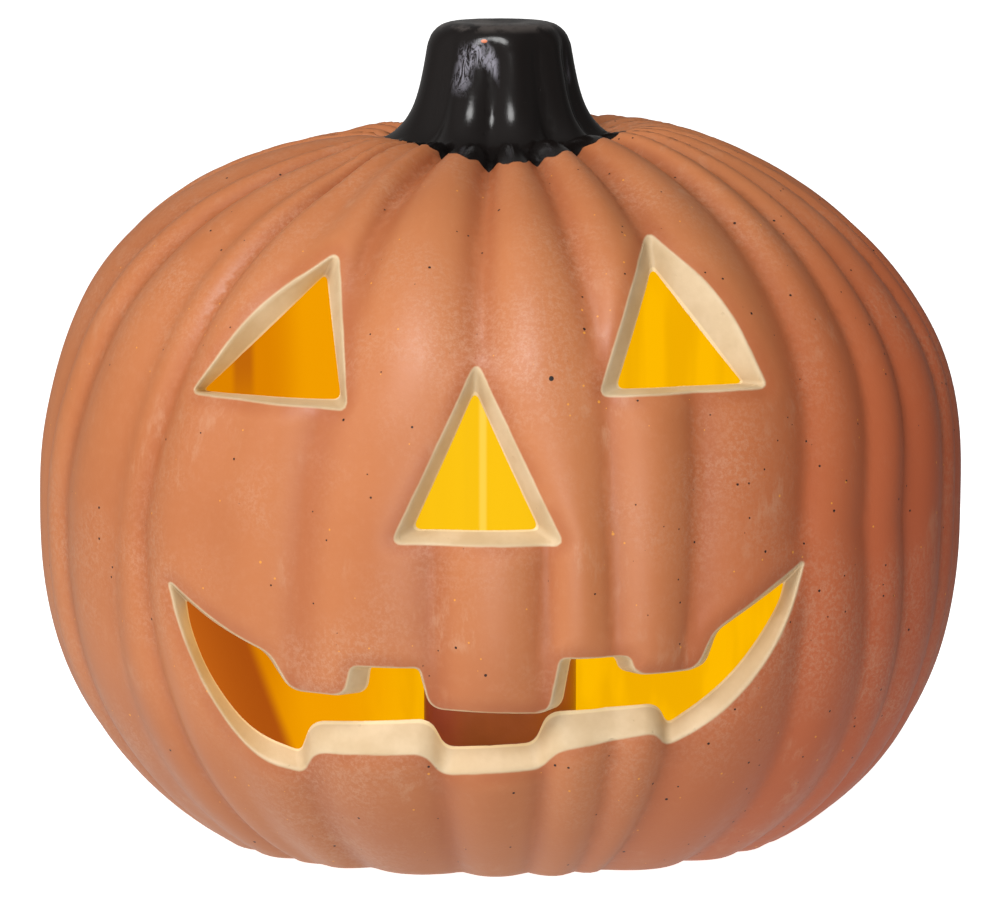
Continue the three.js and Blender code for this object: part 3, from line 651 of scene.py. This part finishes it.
# -------------------- material helpers
class Nodes:
    """A material's node tree with short calls for the nodes used here."""

    def __init__(self, name):
        self.material = bpy.data.materials.new(name)
        self.material.use_nodes = True
        self.tree = self.material.node_tree
        self.shader = self.tree.nodes["Principled BSDF"]
        coordinates = self.tree.nodes.new("ShaderNodeTexCoord")
        self.place = coordinates.outputs["Object"]

    def link(self, source, socket):
        if isinstance(source, (int, float)):
            socket.default_value = source
        elif isinstance(source, tuple):
            socket.default_value = source if len(source) == 4 else (*source, 1.0)
        else:
            self.tree.links.new(source, socket)

    def set(self, **values):
        for name, value in values.items():
            self.link(value, self.shader.inputs[name.replace("_", " ")])

    def attribute(self, name):
        node = self.tree.nodes.new("ShaderNodeAttribute")
        node.attribute_name = name
        return node.outputs["Fac"]

    def math(self, operation, a, b=0.0, clamp=False):
        node = self.tree.nodes.new("ShaderNodeMath")
        node.operation = operation
        node.use_clamp = clamp
        self.link(a, node.inputs[0])
        self.link(b, node.inputs[1])
        return node.outputs[0]

    def ramp(self, value, low, high, out_low=0.0, out_high=1.0):
        """Smooth change from out_low to out_high as value goes from low to high."""
        node = self.tree.nodes.new("ShaderNodeMapRange")
        node.interpolation_type = "SMOOTHSTEP"
        self.link(value, node.inputs["Value"])
        flip = low > high
        node.inputs["From Min"].default_value = high if flip else low
        node.inputs["From Max"].default_value = low if flip else high
        node.inputs["To Min"].default_value = out_high if flip else out_low
        node.inputs["To Max"].default_value = out_low if flip else out_high
        return node.outputs["Result"]

    def noise(self, scale, detail=3.0, roughness=0.55, stretch=(1, 1, 1), shift=(0, 0, 0), distortion=0.0):
        mapping = self.tree.nodes.new("ShaderNodeMapping")
        mapping.inputs["Scale"].default_value = stretch
        mapping.inputs["Location"].default_value = shift
        self.tree.links.new(self.place, mapping.inputs["Vector"])
        node = self.tree.nodes.new("ShaderNodeTexNoise")
        node.inputs["Scale"].default_value = scale
        node.inputs["Detail"].default_value = detail
        node.inputs["Roughness"].default_value = roughness
        node.inputs["Distortion"].default_value = distortion
        self.tree.links.new(mapping.outputs[0], node.inputs["Vector"])
        return node.outputs["Fac"]

    def specks(self, scale, radius, share, shift):
        """Small round dots: 1 inside a dot. share is the part of the cells that hold one."""
        mapping = self.tree.nodes.new("ShaderNodeMapping")
        mapping.inputs["Location"].default_value = shift
        self.tree.links.new(self.place, mapping.inputs["Vector"])
        node = self.tree.nodes.new("ShaderNodeTexVoronoi")
        node.inputs["Scale"].default_value = scale
        self.tree.links.new(mapping.outputs[0], node.inputs["Vector"])
        split = self.tree.nodes.new("ShaderNodeSeparateColor")
        self.tree.links.new(node.outputs["Color"], split.inputs[0])
        size = self.math("MULTIPLY", split.outputs[0], radius * scale)
        dot = self.math("SUBTRACT", size, node.outputs["Distance"])
        dot = self.ramp(dot, 0.0, 0.25 * radius * scale)
        chosen = self.math("LESS_THAN", split.outputs[1], share)
        return self.math("MULTIPLY", dot, chosen)

    def mix(self, factor, a, b):
        node = self.tree.nodes.new("ShaderNodeMix")
        node.data_type = "RGBA"
        self.link(factor, node.inputs["Factor"])
        self.link(a, node.inputs[6])
        self.link(b, node.inputs[7])
        return node.outputs[2]

    def blend(self, factor, a, b):
        """Number a where factor is 0, and b where it is 1."""
        node = self.tree.nodes.new("ShaderNodeMix")
        node.data_type = "FLOAT"
        self.link(factor, node.inputs["Factor"])
        self.link(a, node.inputs[2])
        self.link(b, node.inputs[3])
        return node.outputs[0]

    def axes(self):
        split = self.tree.nodes.new("ShaderNodeSeparateXYZ")
        self.tree.links.new(self.place, split.inputs[0])
        return split.outputs

    def bump(self, height, distance):
        node = self.tree.nodes.new("ShaderNodeBump")
        node.inputs["Distance"].default_value = distance
        node.inputs["Strength"].default_value = 1.0
        self.link(height, node.inputs["Height"])
        return node.outputs[0]


# -------------------- materials
CLAY_DARK, CLAY_LIGHT = (0.465, 0.148, 0.049), (0.525, 0.182, 0.065)
# Painted shade in the grooves between the ribs
CLAY_GROOVE_SHADE = (0.30, 0.060, 0.016)
CLAY_GRAIN = (0.60, 0.28, 0.14)
CLAY_SHADED_RED = (0.50, 0.104, 0.036)  # painted shade: redder and darker towards +X and low down, where less light falls
CLAY_RIM_SHADE = (0.36, 0.085, 0.026)  # painted shade: darker round the openings, where the skin rolls in
CLAY_SCUFF, CLAY_DUST = (0.62, 0.36, 0.22), (0.58, 0.32, 0.20)
SPECK_DARK, SPECK_YELLOW = (0.030, 0.008, 0.004), (0.80, 0.33, 0.035)
CREAM_DARK, CREAM_LIGHT = (0.59, 0.43, 0.25), (0.66, 0.50, 0.31)
CREAM_BRUSHED, CREAM_LIP_HIGHLIGHT = (0.50, 0.34, 0.19), (0.84, 0.66, 0.38)
BLACK, BLACK_WORN, BLACK_RUBBED = (0.006, 0.004, 0.0035), (0.13, 0.11, 0.10), (0.30, 0.29, 0.34)
CHIP, DARK_MARK = (0.60, 0.16, 0.06), (0.010, 0.005, 0.004)
INNER_PAINT = (0.10, 0.04, 0.002)
# Colours of the glow inside, all painted lamp light: the first pair is painted falloff towards -X, the hot
# one a painted hot spot, the seam one a painted highlight, and the last line painted shade.
GLOW_FALLOFF_ORANGE, GLOW_FALLOFF_AMBER = (0.64, 0.210, 0.0), (0.80, 0.320, 0.0)
GLOW_YELLOW, GLOW_PALE = (0.80, 0.40, 0.0), (0.90, 0.47, 0.0)
GLOW_HOT, GLOW_SEAM_HIGHLIGHT = (0.90, 0.56, 0.008), (1.0, 0.74, 0.12)
GLOW_PAINTED_SHADE, GLOW_PAINTED_DEEP_SHADE = (0.48, 0.108, 0.008), (0.32, 0.060, 0.005)

BLACK_FROM, BLACK_FULL = 0.150, 0.153  # heights
RIB_PAINT_X, RIB_PAINT_WIDTH = 0.004, 0.020  # middle of the black on the ribs, and its half width
RIB_PAINT_REACH, RIB_PAINT_LESS = 0.0545, 0.0105  # distance from the axis, and less at the half width
RIB_PAINT_VALLEYS = 0.0055  # how much less in the valleys
ARCH_X, ARCH_Z, ARCH_WIDTH, ARCH_HEIGHT = -0.0050, 0.1935, 0.0062, 0.0070  # rub on the stem's front
EDGE_X, EDGE_Z, EDGE_WIDTH, EDGE_HEIGHT = 0.0172, 0.1945, 0.0010, 0.006  # rub on its right edge


def ceramic_material():
    n = Nodes("painted_ceramic")
    x, y, z = n.axes()
    lip = n.attribute("lip")
    groove = n.attribute("groove")
    fine = n.noise(420, 4, 0.7)
    dark_specks = n.specks(300, 0.00041, n.ramp(x, -0.09, 0.08, 0.25, 0.85), (0.1, 0.2, 0.3))
    clay = terracotta(n, x, y, z, lip, groove, fine, dark_specks)

    # Cream paint on the walls of the openings, with a soft sprayed edge
    lip_edge = n.math("ADD", lip, n.math("MULTIPLY", n.noise(150, 3), 0.5))
    cream_here = n.ramp(lip_edge, 0.95, 0.35)
    skin = n.mix(cream_here, clay, cream_paint(n, lip))

    # Black paint on the stem, and over the ribs in front of it
    ragged = n.noise(300, 5, 0.7)
    reach = n.math("ADD", n.attribute("stem"), n.math("MULTIPLY", ragged, 1.6))
    over_ribs = paint_over_ribs(n, x, y, ragged, groove)
    painted = n.math("MAXIMUM", n.ramp(reach, 1.9, 1.3), over_ribs)
    black_here = n.math("MULTIPLY", painted, n.ramp(z, BLACK_FROM, BLACK_FULL))
    rubbed = stem_rubs(n, x, y, z)
    skin = n.mix(black_here, skin, black_paint(n, x, y, z, rubbed))

    # Warm paint inside, with painted lamp light: the paint glows by emission in place of the light from the
    # lamp
    indoors = n.attribute("indoors")
    n.set(Base_Color=n.mix(indoors, skin, INNER_PAINT))
    glow = n.mix(indoors, (0.0, 0.0, 0.0), painted_lamp_glow(n, x, y, z))
    n.set(Emission_Color=glow, Emission_Strength=1.0)

    shine = n.blend(black_here, n.ramp(fine, 0.2, 0.8, 0.38, 0.50), 0.2)
    shine = n.blend(n.math("MULTIPLY", rubbed, black_here), shine, 0.6)
    shine = n.blend(cream_here, shine, 0.5)
    gloss = n.blend(black_here, 0.45, 0.32)
    n.set(Roughness=shine, Specular_IOR_Level=n.blend(indoors, gloss, 0.1))

    grain = n.math("ADD", n.math("MULTIPLY", fine, 0.5), n.math("MULTIPLY", n.noise(1500, 2), 0.35))
    pits = n.math("SUBTRACT", grain, n.math("MULTIPLY", dark_specks, 1.5))
    n.set(Normal=n.bump(pits, 0.00006))
    return n.material


def terracotta(n, x, y, z, lip, groove, fine, dark_specks):
    """Slow and fine variation, painted shade in the valleys, towards +X and low down, and round the
    openings, pale scuffs and dust, and specks.
    """
    clay = n.mix(n.ramp(n.noise(14, 2), 0.3, 0.7), CLAY_DARK, CLAY_LIGHT)
    # Painted shade: darker, browner clay down in the grooves between the ribs
    clay = n.mix(n.math("MULTIPLY", n.ramp(groove, 0.8, 3.2), 0.40), clay, CLAY_GROOVE_SHADE)
    clay = n.mix(n.math("MULTIPLY", n.ramp(fine, 0.45, 0.75), 0.12), clay, CLAY_GRAIN)
    # Painted shade: redder, darker clay towards +X and low down
    aside = n.ramp(n.math("SUBTRACT", x, n.math("MULTIPLY", z, 0.3)), -0.005, 0.095)
    clay = n.mix(aside, clay, CLAY_SHADED_RED)
    # Painted shade: a patchy darker ring round the openings, where the skin rolls in towards them
    patchy = n.ramp(n.noise(60, 2, shift=(0, 0.6, 0)), 0.25, 0.6)
    rim_shade = n.math("MULTIPLY", n.ramp(lip, 4.5, 1.2), patchy)
    clay = n.mix(n.math("MULTIPLY", rim_shade, 0.35), clay, CLAY_RIM_SHADE)
    scuff_zone = n.ramp(n.noise(38, 3, 0.6, shift=(0.3, 0, 0)), 0.52, 0.68)
    scuff_lines = n.ramp(n.noise(260, 5, 0.75, stretch=(1, 1, 0.35)), 0.48, 0.66)
    scuff = n.math("MULTIPLY", scuff_zone, scuff_lines)
    clay = n.mix(n.math("MULTIPLY", scuff, 0.28), clay, CLAY_SCUFF)
    dust_zone = n.ramp(n.noise(22, 4, 0.6, shift=(0.7, 0.2, 0)), 0.42, 0.66)
    dust = n.math("MULTIPLY", dust_zone, n.ramp(n.noise(900, 3, 0.8), 0.40, 0.66))
    clay = n.mix(n.math("MULTIPLY", dust, 0.38), clay, CLAY_DUST)
    clay = n.mix(dark_specks, clay, SPECK_DARK)
    clay = n.mix(spot(n, x, y, z, 0.0121, 0.1263, 0.0006, 0.0006), clay, DARK_MARK)
    yellow_specks = n.specks(300, 0.00040, 0.4, (0.5, 0.1, 0.7))
    return n.mix(n.math("MULTIPLY", yellow_specks, 0.8), clay, SPECK_YELLOW)


def black_paint(n, x, y, z, rubbed):
    """Black, worn at the stem's rim and rubbed grey where it was knocked, with one chip down to the clay."""
    rim_wear = n.math("MULTIPLY", n.ramp(z, 0.2008, 0.2026), n.ramp(n.noise(180, 4), 0.42, 0.62))
    black = n.mix(n.math("MULTIPLY", rim_wear, 0.5), BLACK, BLACK_WORN)
    black = n.mix(n.math("MULTIPLY", rubbed, 0.85), black, BLACK_RUBBED)
    return n.mix(spot(n, x, y, z, -0.0039, 0.1994, 0.0008, 0.00045), black, CHIP)


def paint_over_ribs(n, x, y, ragged, groove):
    """1 where black runs out over the front ribs: furthest near the middle, and on their crests."""
    radius = n.math("SQRT", n.math("ADD", n.math("MULTIPLY", x, x), n.math("MULTIPLY", y, y)))
    aside = n.math("DIVIDE", n.math("SUBTRACT", x, RIB_PAINT_X), RIB_PAINT_WIDTH)
    less = n.math("MULTIPLY", n.math("MULTIPLY", aside, aside), RIB_PAINT_LESS)
    limit = n.math("SUBTRACT", RIB_PAINT_REACH, less)
    limit = n.math("SUBTRACT", limit, n.ramp(groove, 0.4, 2.6, 0.0, RIB_PAINT_VALLEYS))
    past = n.math("ADD", n.math("SUBTRACT", radius, limit), n.math("MULTIPLY", ragged, 0.0016))
    return n.math("MULTIPLY", n.ramp(past, 0.0011, 0.0004), n.ramp(y, -0.012, -0.018))


def cream_paint(n, lip):
    """Brushed cream, with a painted highlight: a paler line along the inner edge of each wall, as if lit by
    the lamp inside.
    """
    tone = n.noise(90, 3, shift=(0.1, 0.4, 0))
    cream = n.mix(n.ramp(tone, 0.35, 0.65), CREAM_DARK, CREAM_LIGHT)
    brushed = n.noise(700, 3, 0.6, stretch=(1, 0.2, 1))
    cream = n.mix(n.math("MULTIPLY", n.ramp(brushed, 0.4, 0.7), 0.10), cream, CREAM_BRUSHED)
    # Painted highlight along the inner edge of each wall
    inner_edge = n.ramp(n.attribute("cavity"), 0.75, 0.45)
    rim = n.math("MULTIPLY", inner_edge, n.math("LESS_THAN", lip, 0.5))
    return n.mix(n.math("MULTIPLY", rim, 0.7), cream, CREAM_LIP_HIGHLIGHT)


def stem_rubs(n, x, y, z):
    """An arched, streaky rub at the upper left of the stem's front, and a thin one down its right edge."""
    streaks = n.noise(380, 6, 0.75, stretch=(1.7, 1, 0.5), distortion=1.4)
    bare = n.ramp(streaks, 0.42, 0.58)
    across = n.math("DIVIDE", n.math("SUBTRACT", x, ARCH_X), ARCH_WIDTH)
    along = n.math("DIVIDE", n.math("SUBTRACT", z, ARCH_Z), ARCH_HEIGHT)
    bend = n.math("MULTIPLY", n.math("MULTIPLY", across, across), 1.1)
    from_arch = n.math("ABSOLUTE", n.math("ADD", n.math("SUBTRACT", along, 0.4), bend))
    ends = n.ramp(n.math("ABSOLUTE", n.math("ADD", across, 0.1)), 0.95, 0.6)
    arch = n.math("MULTIPLY", n.ramp(from_arch, 0.62, 0.15), ends)
    slant = n.math("SUBTRACT", 0.55, n.math("MULTIPLY", along, 0.25))
    from_tail = n.math("ABSOLUTE", n.math("ADD", across, slant))
    tail = n.math("MULTIPLY", n.ramp(from_tail, 0.5, 0.1), n.ramp(along, -1.2, -0.4))
    tail = n.math("MULTIPLY", tail, n.ramp(along, 0.9, 0.4))
    patch = n.math("MULTIPLY", n.math("MAXIMUM", arch, n.math("MULTIPLY", tail, 0.8)), bare)

    edge = n.math("DIVIDE", n.math("SUBTRACT", x, EDGE_X), EDGE_WIDTH)
    height = n.math("DIVIDE", n.math("SUBTRACT", z, EDGE_Z), EDGE_HEIGHT)
    side = n.math("SQRT", n.math("ADD", n.math("MULTIPLY", edge, edge), n.math("MULTIPLY", height, height)))
    rub = n.math("MULTIPLY", n.ramp(side, 1.2, 0.6), n.math("ADD", bare, 0.25, True))
    either = n.math("MAXIMUM", patch, n.math("MULTIPLY", rub, 0.8))
    return n.math("MULTIPLY", n.ramp(y, -0.004, -0.008), either)


def spot(n, x, y, z, at_x, at_z, half_width, half_height):
    """1 inside one small oval on the front, placed by x and z."""
    across = n.math("DIVIDE", n.math("SUBTRACT", x, at_x), half_width)
    along = n.math("DIVIDE", n.math("SUBTRACT", z, at_z), half_height)
    far = n.math("ADD", n.math("MULTIPLY", across, across), n.math("MULTIPLY", along, along))
    return n.math("MULTIPLY", n.ramp(far, 1.2, 0.7), n.ramp(y, -0.004, -0.008))


def painted_lamp_glow(n, x, y, z):
    """Painted lamp light for the inner walls: yellow, deepening to orange towards -X as painted falloff, in
    soft upright bands, with a painted hot spot facing the nose, painted shade on the lower left and in one
    band higher up, and a painted highlight along the parting line at the back.
    """
    bands = n.noise(26, 2, stretch=(1, 0.4, 0.05))
    streaks = n.noise(150, 2, stretch=(1, 0.3, 0.04))
    waver = n.math("MULTIPLY", n.math("SUBTRACT", bands, 0.5), 0.02)
    across = n.math("ADD", x, waver)
    high = n.ramp(z, 0.090, 0.110)
    # Painted falloff of the lamp light: the glow turns amber, then orange, towards -X.
    amber = n.mix(n.ramp(across, -0.060, -0.048), GLOW_FALLOFF_ORANGE, GLOW_FALLOFF_AMBER)
    yellow = n.mix(n.ramp(streaks, 0.35, 0.65), GLOW_YELLOW, GLOW_PALE)
    tone = n.mix(n.ramp(across, -0.044, -0.008), amber, yellow)
    # Painted hot spot: a hotter glow in an upright strip on the back wall behind the nose.
    facing_nose = n.math("ABSOLUTE", n.math("ADD", x, 0.005))
    painted_hot_spot = n.math("MULTIPLY", n.ramp(facing_nose, 0.030, 0.012), n.ramp(z, 0.045, 0.060))
    tone = n.mix(n.math("MULTIPLY", painted_hot_spot, 0.8), tone, GLOW_HOT)
    # Painted shade: a darker glow on the lower left, and in one upright band higher up on the left.
    slanted = n.math("ADD", x, n.math("MULTIPLY", z, 0.433))
    shade_edge = n.math("ADD", slanted, n.math("MULTIPLY", waver, 0.25))
    low_shade = n.math("MULTIPLY", n.ramp(shade_edge, -0.0465, -0.0500), n.math("SUBTRACT", 1.0, high))
    painted_shade = n.mix(n.ramp(shade_edge, -0.068, -0.050), GLOW_PAINTED_SHADE, GLOW_PAINTED_DEEP_SHADE)
    band = n.math("ABSOLUTE", n.math("ADD", x, 0.0665))
    high_shade = n.math("MULTIPLY", n.ramp(band, 0.0035, 0.0015), n.math("MULTIPLY", high, 0.6))
    tone = n.mix(n.math("MAXIMUM", low_shade, high_shade), tone, painted_shade)
    # Painted highlight: a pale line of glow along the parting line at the back.
    seam_place = n.math("ABSOLUTE", n.math("ADD", x, 0.0045))
    seam_highlight = n.math("MULTIPLY", n.ramp(seam_place, 0.0014, 0.0004), n.ramp(y, 0.02, 0.05))
    return n.mix(n.math("MULTIPLY", seam_highlight, 0.55), tone, GLOW_SEAM_HIGHLIGHT)


def moulded_material(name, colour, roughness=0.45, grain=0.00004, variation=0.12, metallic=0.0, marks=0.25):
    """Plastic or metal with slight colour drift, fine texture, handling marks and pale worn patches."""
    n = Nodes(name)
    drift = n.noise(60, 3)
    fine = n.noise(1400, 3, 0.6)
    lighter = tuple(min(1.0, c * (1 + variation) + 0.01) for c in colour)
    darker = tuple(c * (1 - variation) for c in colour)
    base = n.mix(n.ramp(drift, 0.3, 0.7), darker, lighter)
    worn = n.ramp(n.noise(210, 5, 0.7, shift=(0.2, 0.1, 0)), 0.62, 0.78)
    pale = tuple(0.7 * c + 0.18 for c in colour)
    base = n.mix(n.math("MULTIPLY", worn, marks), base, pale)
    n.set(Base_Color=base)
    n.set(Roughness=n.ramp(n.math("ADD", fine, worn), 0.3, 1.4, roughness - 0.06, roughness + 0.12))
    n.shader.inputs["Metallic"].default_value = metallic
    n.set(Normal=n.bump(fine, grain))
    return n.material


METAL = dict(grain=0.00001, variation=0.05, metallic=1.0, marks=0.1)
# Colour, roughness, and what differs from moulded_material's usual settings
FINISHES = {
    "pad_silicone": ((0.60, 0.58, 0.53), 0.6, {}),
    "seal_silicone": ((0.52, 0.49, 0.44), 0.55, {}),
    "brown_plastic": ((0.29, 0.100, 0.125), 0.35, dict(marks=0.08)),
    "black_plastic": ((0.018, 0.018, 0.019), 0.42, dict(grain=0.00006, marks=0.1)),
    "frosted_plastic": ((0.86, 0.76, 0.55), 0.5, dict(marks=0.05)),
    "circuit_board": ((0.02, 0.16, 0.055), 0.4, {}),
    "amber_lens": ((0.95, 0.45, 0.04), 0.15, dict(grain=0.00001, marks=0.0)),
    "chip_plastic": ((0.015, 0.015, 0.016), 0.5, {}),
    "resistor_body": ((0.62, 0.45, 0.25), 0.35, {}),
    "spring_steel": ((0.60, 0.60, 0.61), 0.25, METAL),
    "screw_steel": ((0.42, 0.42, 0.43), 0.3, METAL),
    "cell_jacket": ((0.05, 0.075, 0.10), 0.3, dict(grain=0.00001)),
    "lead_red": ((0.35, 0.008, 0.006), 0.35, {}),
    "lead_black": ((0.01, 0.01, 0.01), 0.35, {}),
    "lead_white": ((0.70, 0.67, 0.60), 0.35, {}),
    "knob_plastic": ((0.75, 0.70, 0.60), 0.4, {}),
}
MATERIALS = {name: moulded_material(name, *look, **rest) for name, (*look, rest) in FINISHES.items()}


# -------------------- pieces of the light unit
def slot_of(node):
    for row in frame["record"]["subparts"]:
        if row["node"] == node:
            return row["material_slot"]
    raise KeyError(node)


def body_of(node):
    for body, nodes in frame["record"]["behaviour"]["bodies"].items():
        if node in nodes:
            return body
    raise KeyError(node)


def refined_piece(node):
    """The CAD node's shape with its facets merged and its edges rounded, in its own finish."""
    mesh = frame["nodes"][node].data.copy()
    mesh.name = node + "_fine"
    fine = bmesh.new()
    fine.from_mesh(mesh)
    bmesh.ops.remove_doubles(fine, verts=fine.verts, dist=2e-6)
    bmesh.ops.dissolve_limit(fine, angle_limit=math.radians(1.0), verts=fine.verts, edges=fine.edges)
    steep = math.radians(SHARP_ANGLE)
    sharp = [e for e in fine.edges if len(e.link_faces) == 2 and e.calc_face_angle(0) > steep]
    bmesh.ops.bevel(
        fine,
        geom=sharp,
        offset=EDGE_BEVEL * MM,
        offset_type="OFFSET",
        segments=BEVEL_SEGMENTS,
        profile=0.5,
        affect="EDGES",
        clamp_overlap=True,
    )
    for face in fine.faces:
        face.smooth = True
    fine.to_mesh(mesh)
    fine.free()
    piece = bpy.data.objects.new(node + "_fine", mesh)
    bpy.context.scene.collection.objects.link(piece)
    if "custom_normal" in mesh.attributes:
        mesh.attributes.remove(mesh.attributes["custom_normal"])
    mesh.materials.clear()
    mesh.materials.append(MATERIALS[slot_of(node)])
    weighted = piece.modifiers.new("even_shading", "WEIGHTED_NORMAL")
    weighted.keep_sharp = True
    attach(piece, body_of(node))
    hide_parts(node)


# -------------------- studio
FLOOR_GLOW = 0.97  # keeps the floor about as white as the backdrop
WORLD_FRONT, WORLD_BEHIND, WORLD_BELOW = 0.46, 0.20, 0.92
WORLD_LEFT, WORLD_RIGHT = 1.05, 0.5  # multiply those towards -X and +X


def add_camera():
    tilt = math.radians(CAMERA_TILT)
    camera = bpy.data.objects.new("camera", bpy.data.cameras.new("camera"))
    bpy.context.scene.collection.objects.link(camera)
    camera.data.lens = CAMERA_LENS
    camera.data.sensor_width = SENSOR_WIDTH
    camera.data.clip_start, camera.data.clip_end = 0.05, 50
    camera.location = Vector(
        (0, -CAMERA_DISTANCE * math.cos(tilt), CAMERA_AIM_Z + CAMERA_DISTANCE * math.sin(tilt))
    ) * MM
    camera.rotation_euler = (math.pi / 2 - tilt, 0, 0)
    bpy.context.scene.camera = camera


def add_softbox(name, place, aim, size, watts):
    light = bpy.data.lights.new(name, "AREA")
    light.shape = "DISK"
    light.size = size
    light.energy = watts
    box = bpy.data.objects.new(name, light)
    bpy.context.scene.collection.objects.link(box)
    box.location = place
    box.rotation_euler = (Vector(aim) - Vector(place)).to_track_quat("-Z", "Y").to_euler()
    return box


def add_floor():
    """A pale floor that is clear from below, so that the underside can be seen through it."""
    mesh = bpy.data.meshes.new("floor")
    half = 4.0
    corners = [(-half, -half, 0), (half, -half, 0), (half, half, 0), (-half, half, 0)]
    mesh.from_pydata(corners, [], [(0, 1, 2, 3)])
    floor = bpy.data.objects.new("floor", mesh)
    bpy.context.scene.collection.objects.link(floor)
    material = bpy.data.materials.new("pale_floor")
    material.use_nodes = True
    tree = material.node_tree
    shader = tree.nodes["Principled BSDF"]
    shader.inputs["Base Color"].default_value = (0.93, 0.93, 0.93, 1)
    shader.inputs["Roughness"].default_value = 0.8
    shader.inputs["Emission Color"].default_value = (1, 1, 1, 1)
    shader.inputs["Emission Strength"].default_value = FLOOR_GLOW
    below = tree.nodes.new("ShaderNodeNewGeometry")
    clear = tree.nodes.new("ShaderNodeBsdfTransparent")
    mix = tree.nodes.new("ShaderNodeMixShader")
    tree.links.new(below.outputs["Backfacing"], mix.inputs[0])
    tree.links.new(shader.outputs[0], mix.inputs[1])
    tree.links.new(clear.outputs[0], mix.inputs[2])
    tree.links.new(mix.outputs[0], tree.nodes["Material Output"].inputs["Surface"])
    mesh.materials.append(material)
    floor.visible_diffuse = False
    floor.visible_shadow = False
    floor.visible_glossy = False


def change(tree, value, start, end, out_start, out_end):
    """Smooth change from out_start to out_end as value goes from start to end."""
    node = tree.nodes.new("ShaderNodeMapRange")
    node.interpolation_type = "SMOOTHSTEP"
    for name, given in (("From Min", start), ("From Max", end), ("To Min", out_start), ("To Max", out_end)):
        if isinstance(given, (int, float)):
            node.inputs[name].default_value = given
        else:
            tree.links.new(given, node.inputs[name])
    tree.links.new(value, node.inputs["Value"])
    return node.outputs["Result"]


def add_world():
    """Soft light, strongest from below and weakest from behind; the camera sees an even warm white."""
    world = bpy.data.worlds.new("studio")
    bpy.context.scene.world = world
    world.use_nodes = True
    tree = world.node_tree
    background = tree.nodes["Background"]
    background.inputs["Color"].default_value = (1.0, 0.985, 0.97, 1)
    ways = tree.nodes.new("ShaderNodeTexCoord")
    split = tree.nodes.new("ShaderNodeSeparateXYZ")
    tree.links.new(ways.outputs["Generated"], split.inputs[0])
    behind = change(tree, split.outputs["Y"], -0.2, 0.5, WORLD_FRONT, WORLD_BEHIND)
    below = change(tree, split.outputs["Z"], -0.05, -0.5, behind, WORLD_BELOW)
    dimmer = tree.nodes.new("ShaderNodeMath")
    dimmer.operation = "MULTIPLY"
    tree.links.new(below, dimmer.inputs[0])
    tree.links.new(change(tree, split.outputs["X"], -0.5, 0.9, WORLD_LEFT, WORLD_RIGHT), dimmer.inputs[1])
    paths = tree.nodes.new("ShaderNodeLightPath")
    strength = tree.nodes.new("ShaderNodeMix")
    strength.data_type = "FLOAT"
    strength.inputs[3].default_value = 1.0
    tree.links.new(paths.outputs["Is Camera Ray"], strength.inputs["Factor"])
    tree.links.new(dimmer.outputs[0], strength.inputs[2])
    tree.links.new(strength.outputs[0], background.inputs["Strength"])


# -------------------- build
add_camera()
add_world()
add_floor()
add_softbox("key", (-0.5, -1.55, 1.7), (0, 0, 0.1), size=0.9, watts=29)
add_softbox("side", (-2.0, -0.9, 0.9), (0, 0, 0.1), size=0.9, watts=14).visible_glossy = False
add_softbox("low_fill", (0.1, -2.2, 0.0), (0, 0, 0.06), size=1.2, watts=14)
bpy.context.scene.view_settings.view_transform = "Standard"

pumpkin_shell(ceramic_material())
for name in frame["nodes"]:
    if name != "shell":
        refined_piece(name)
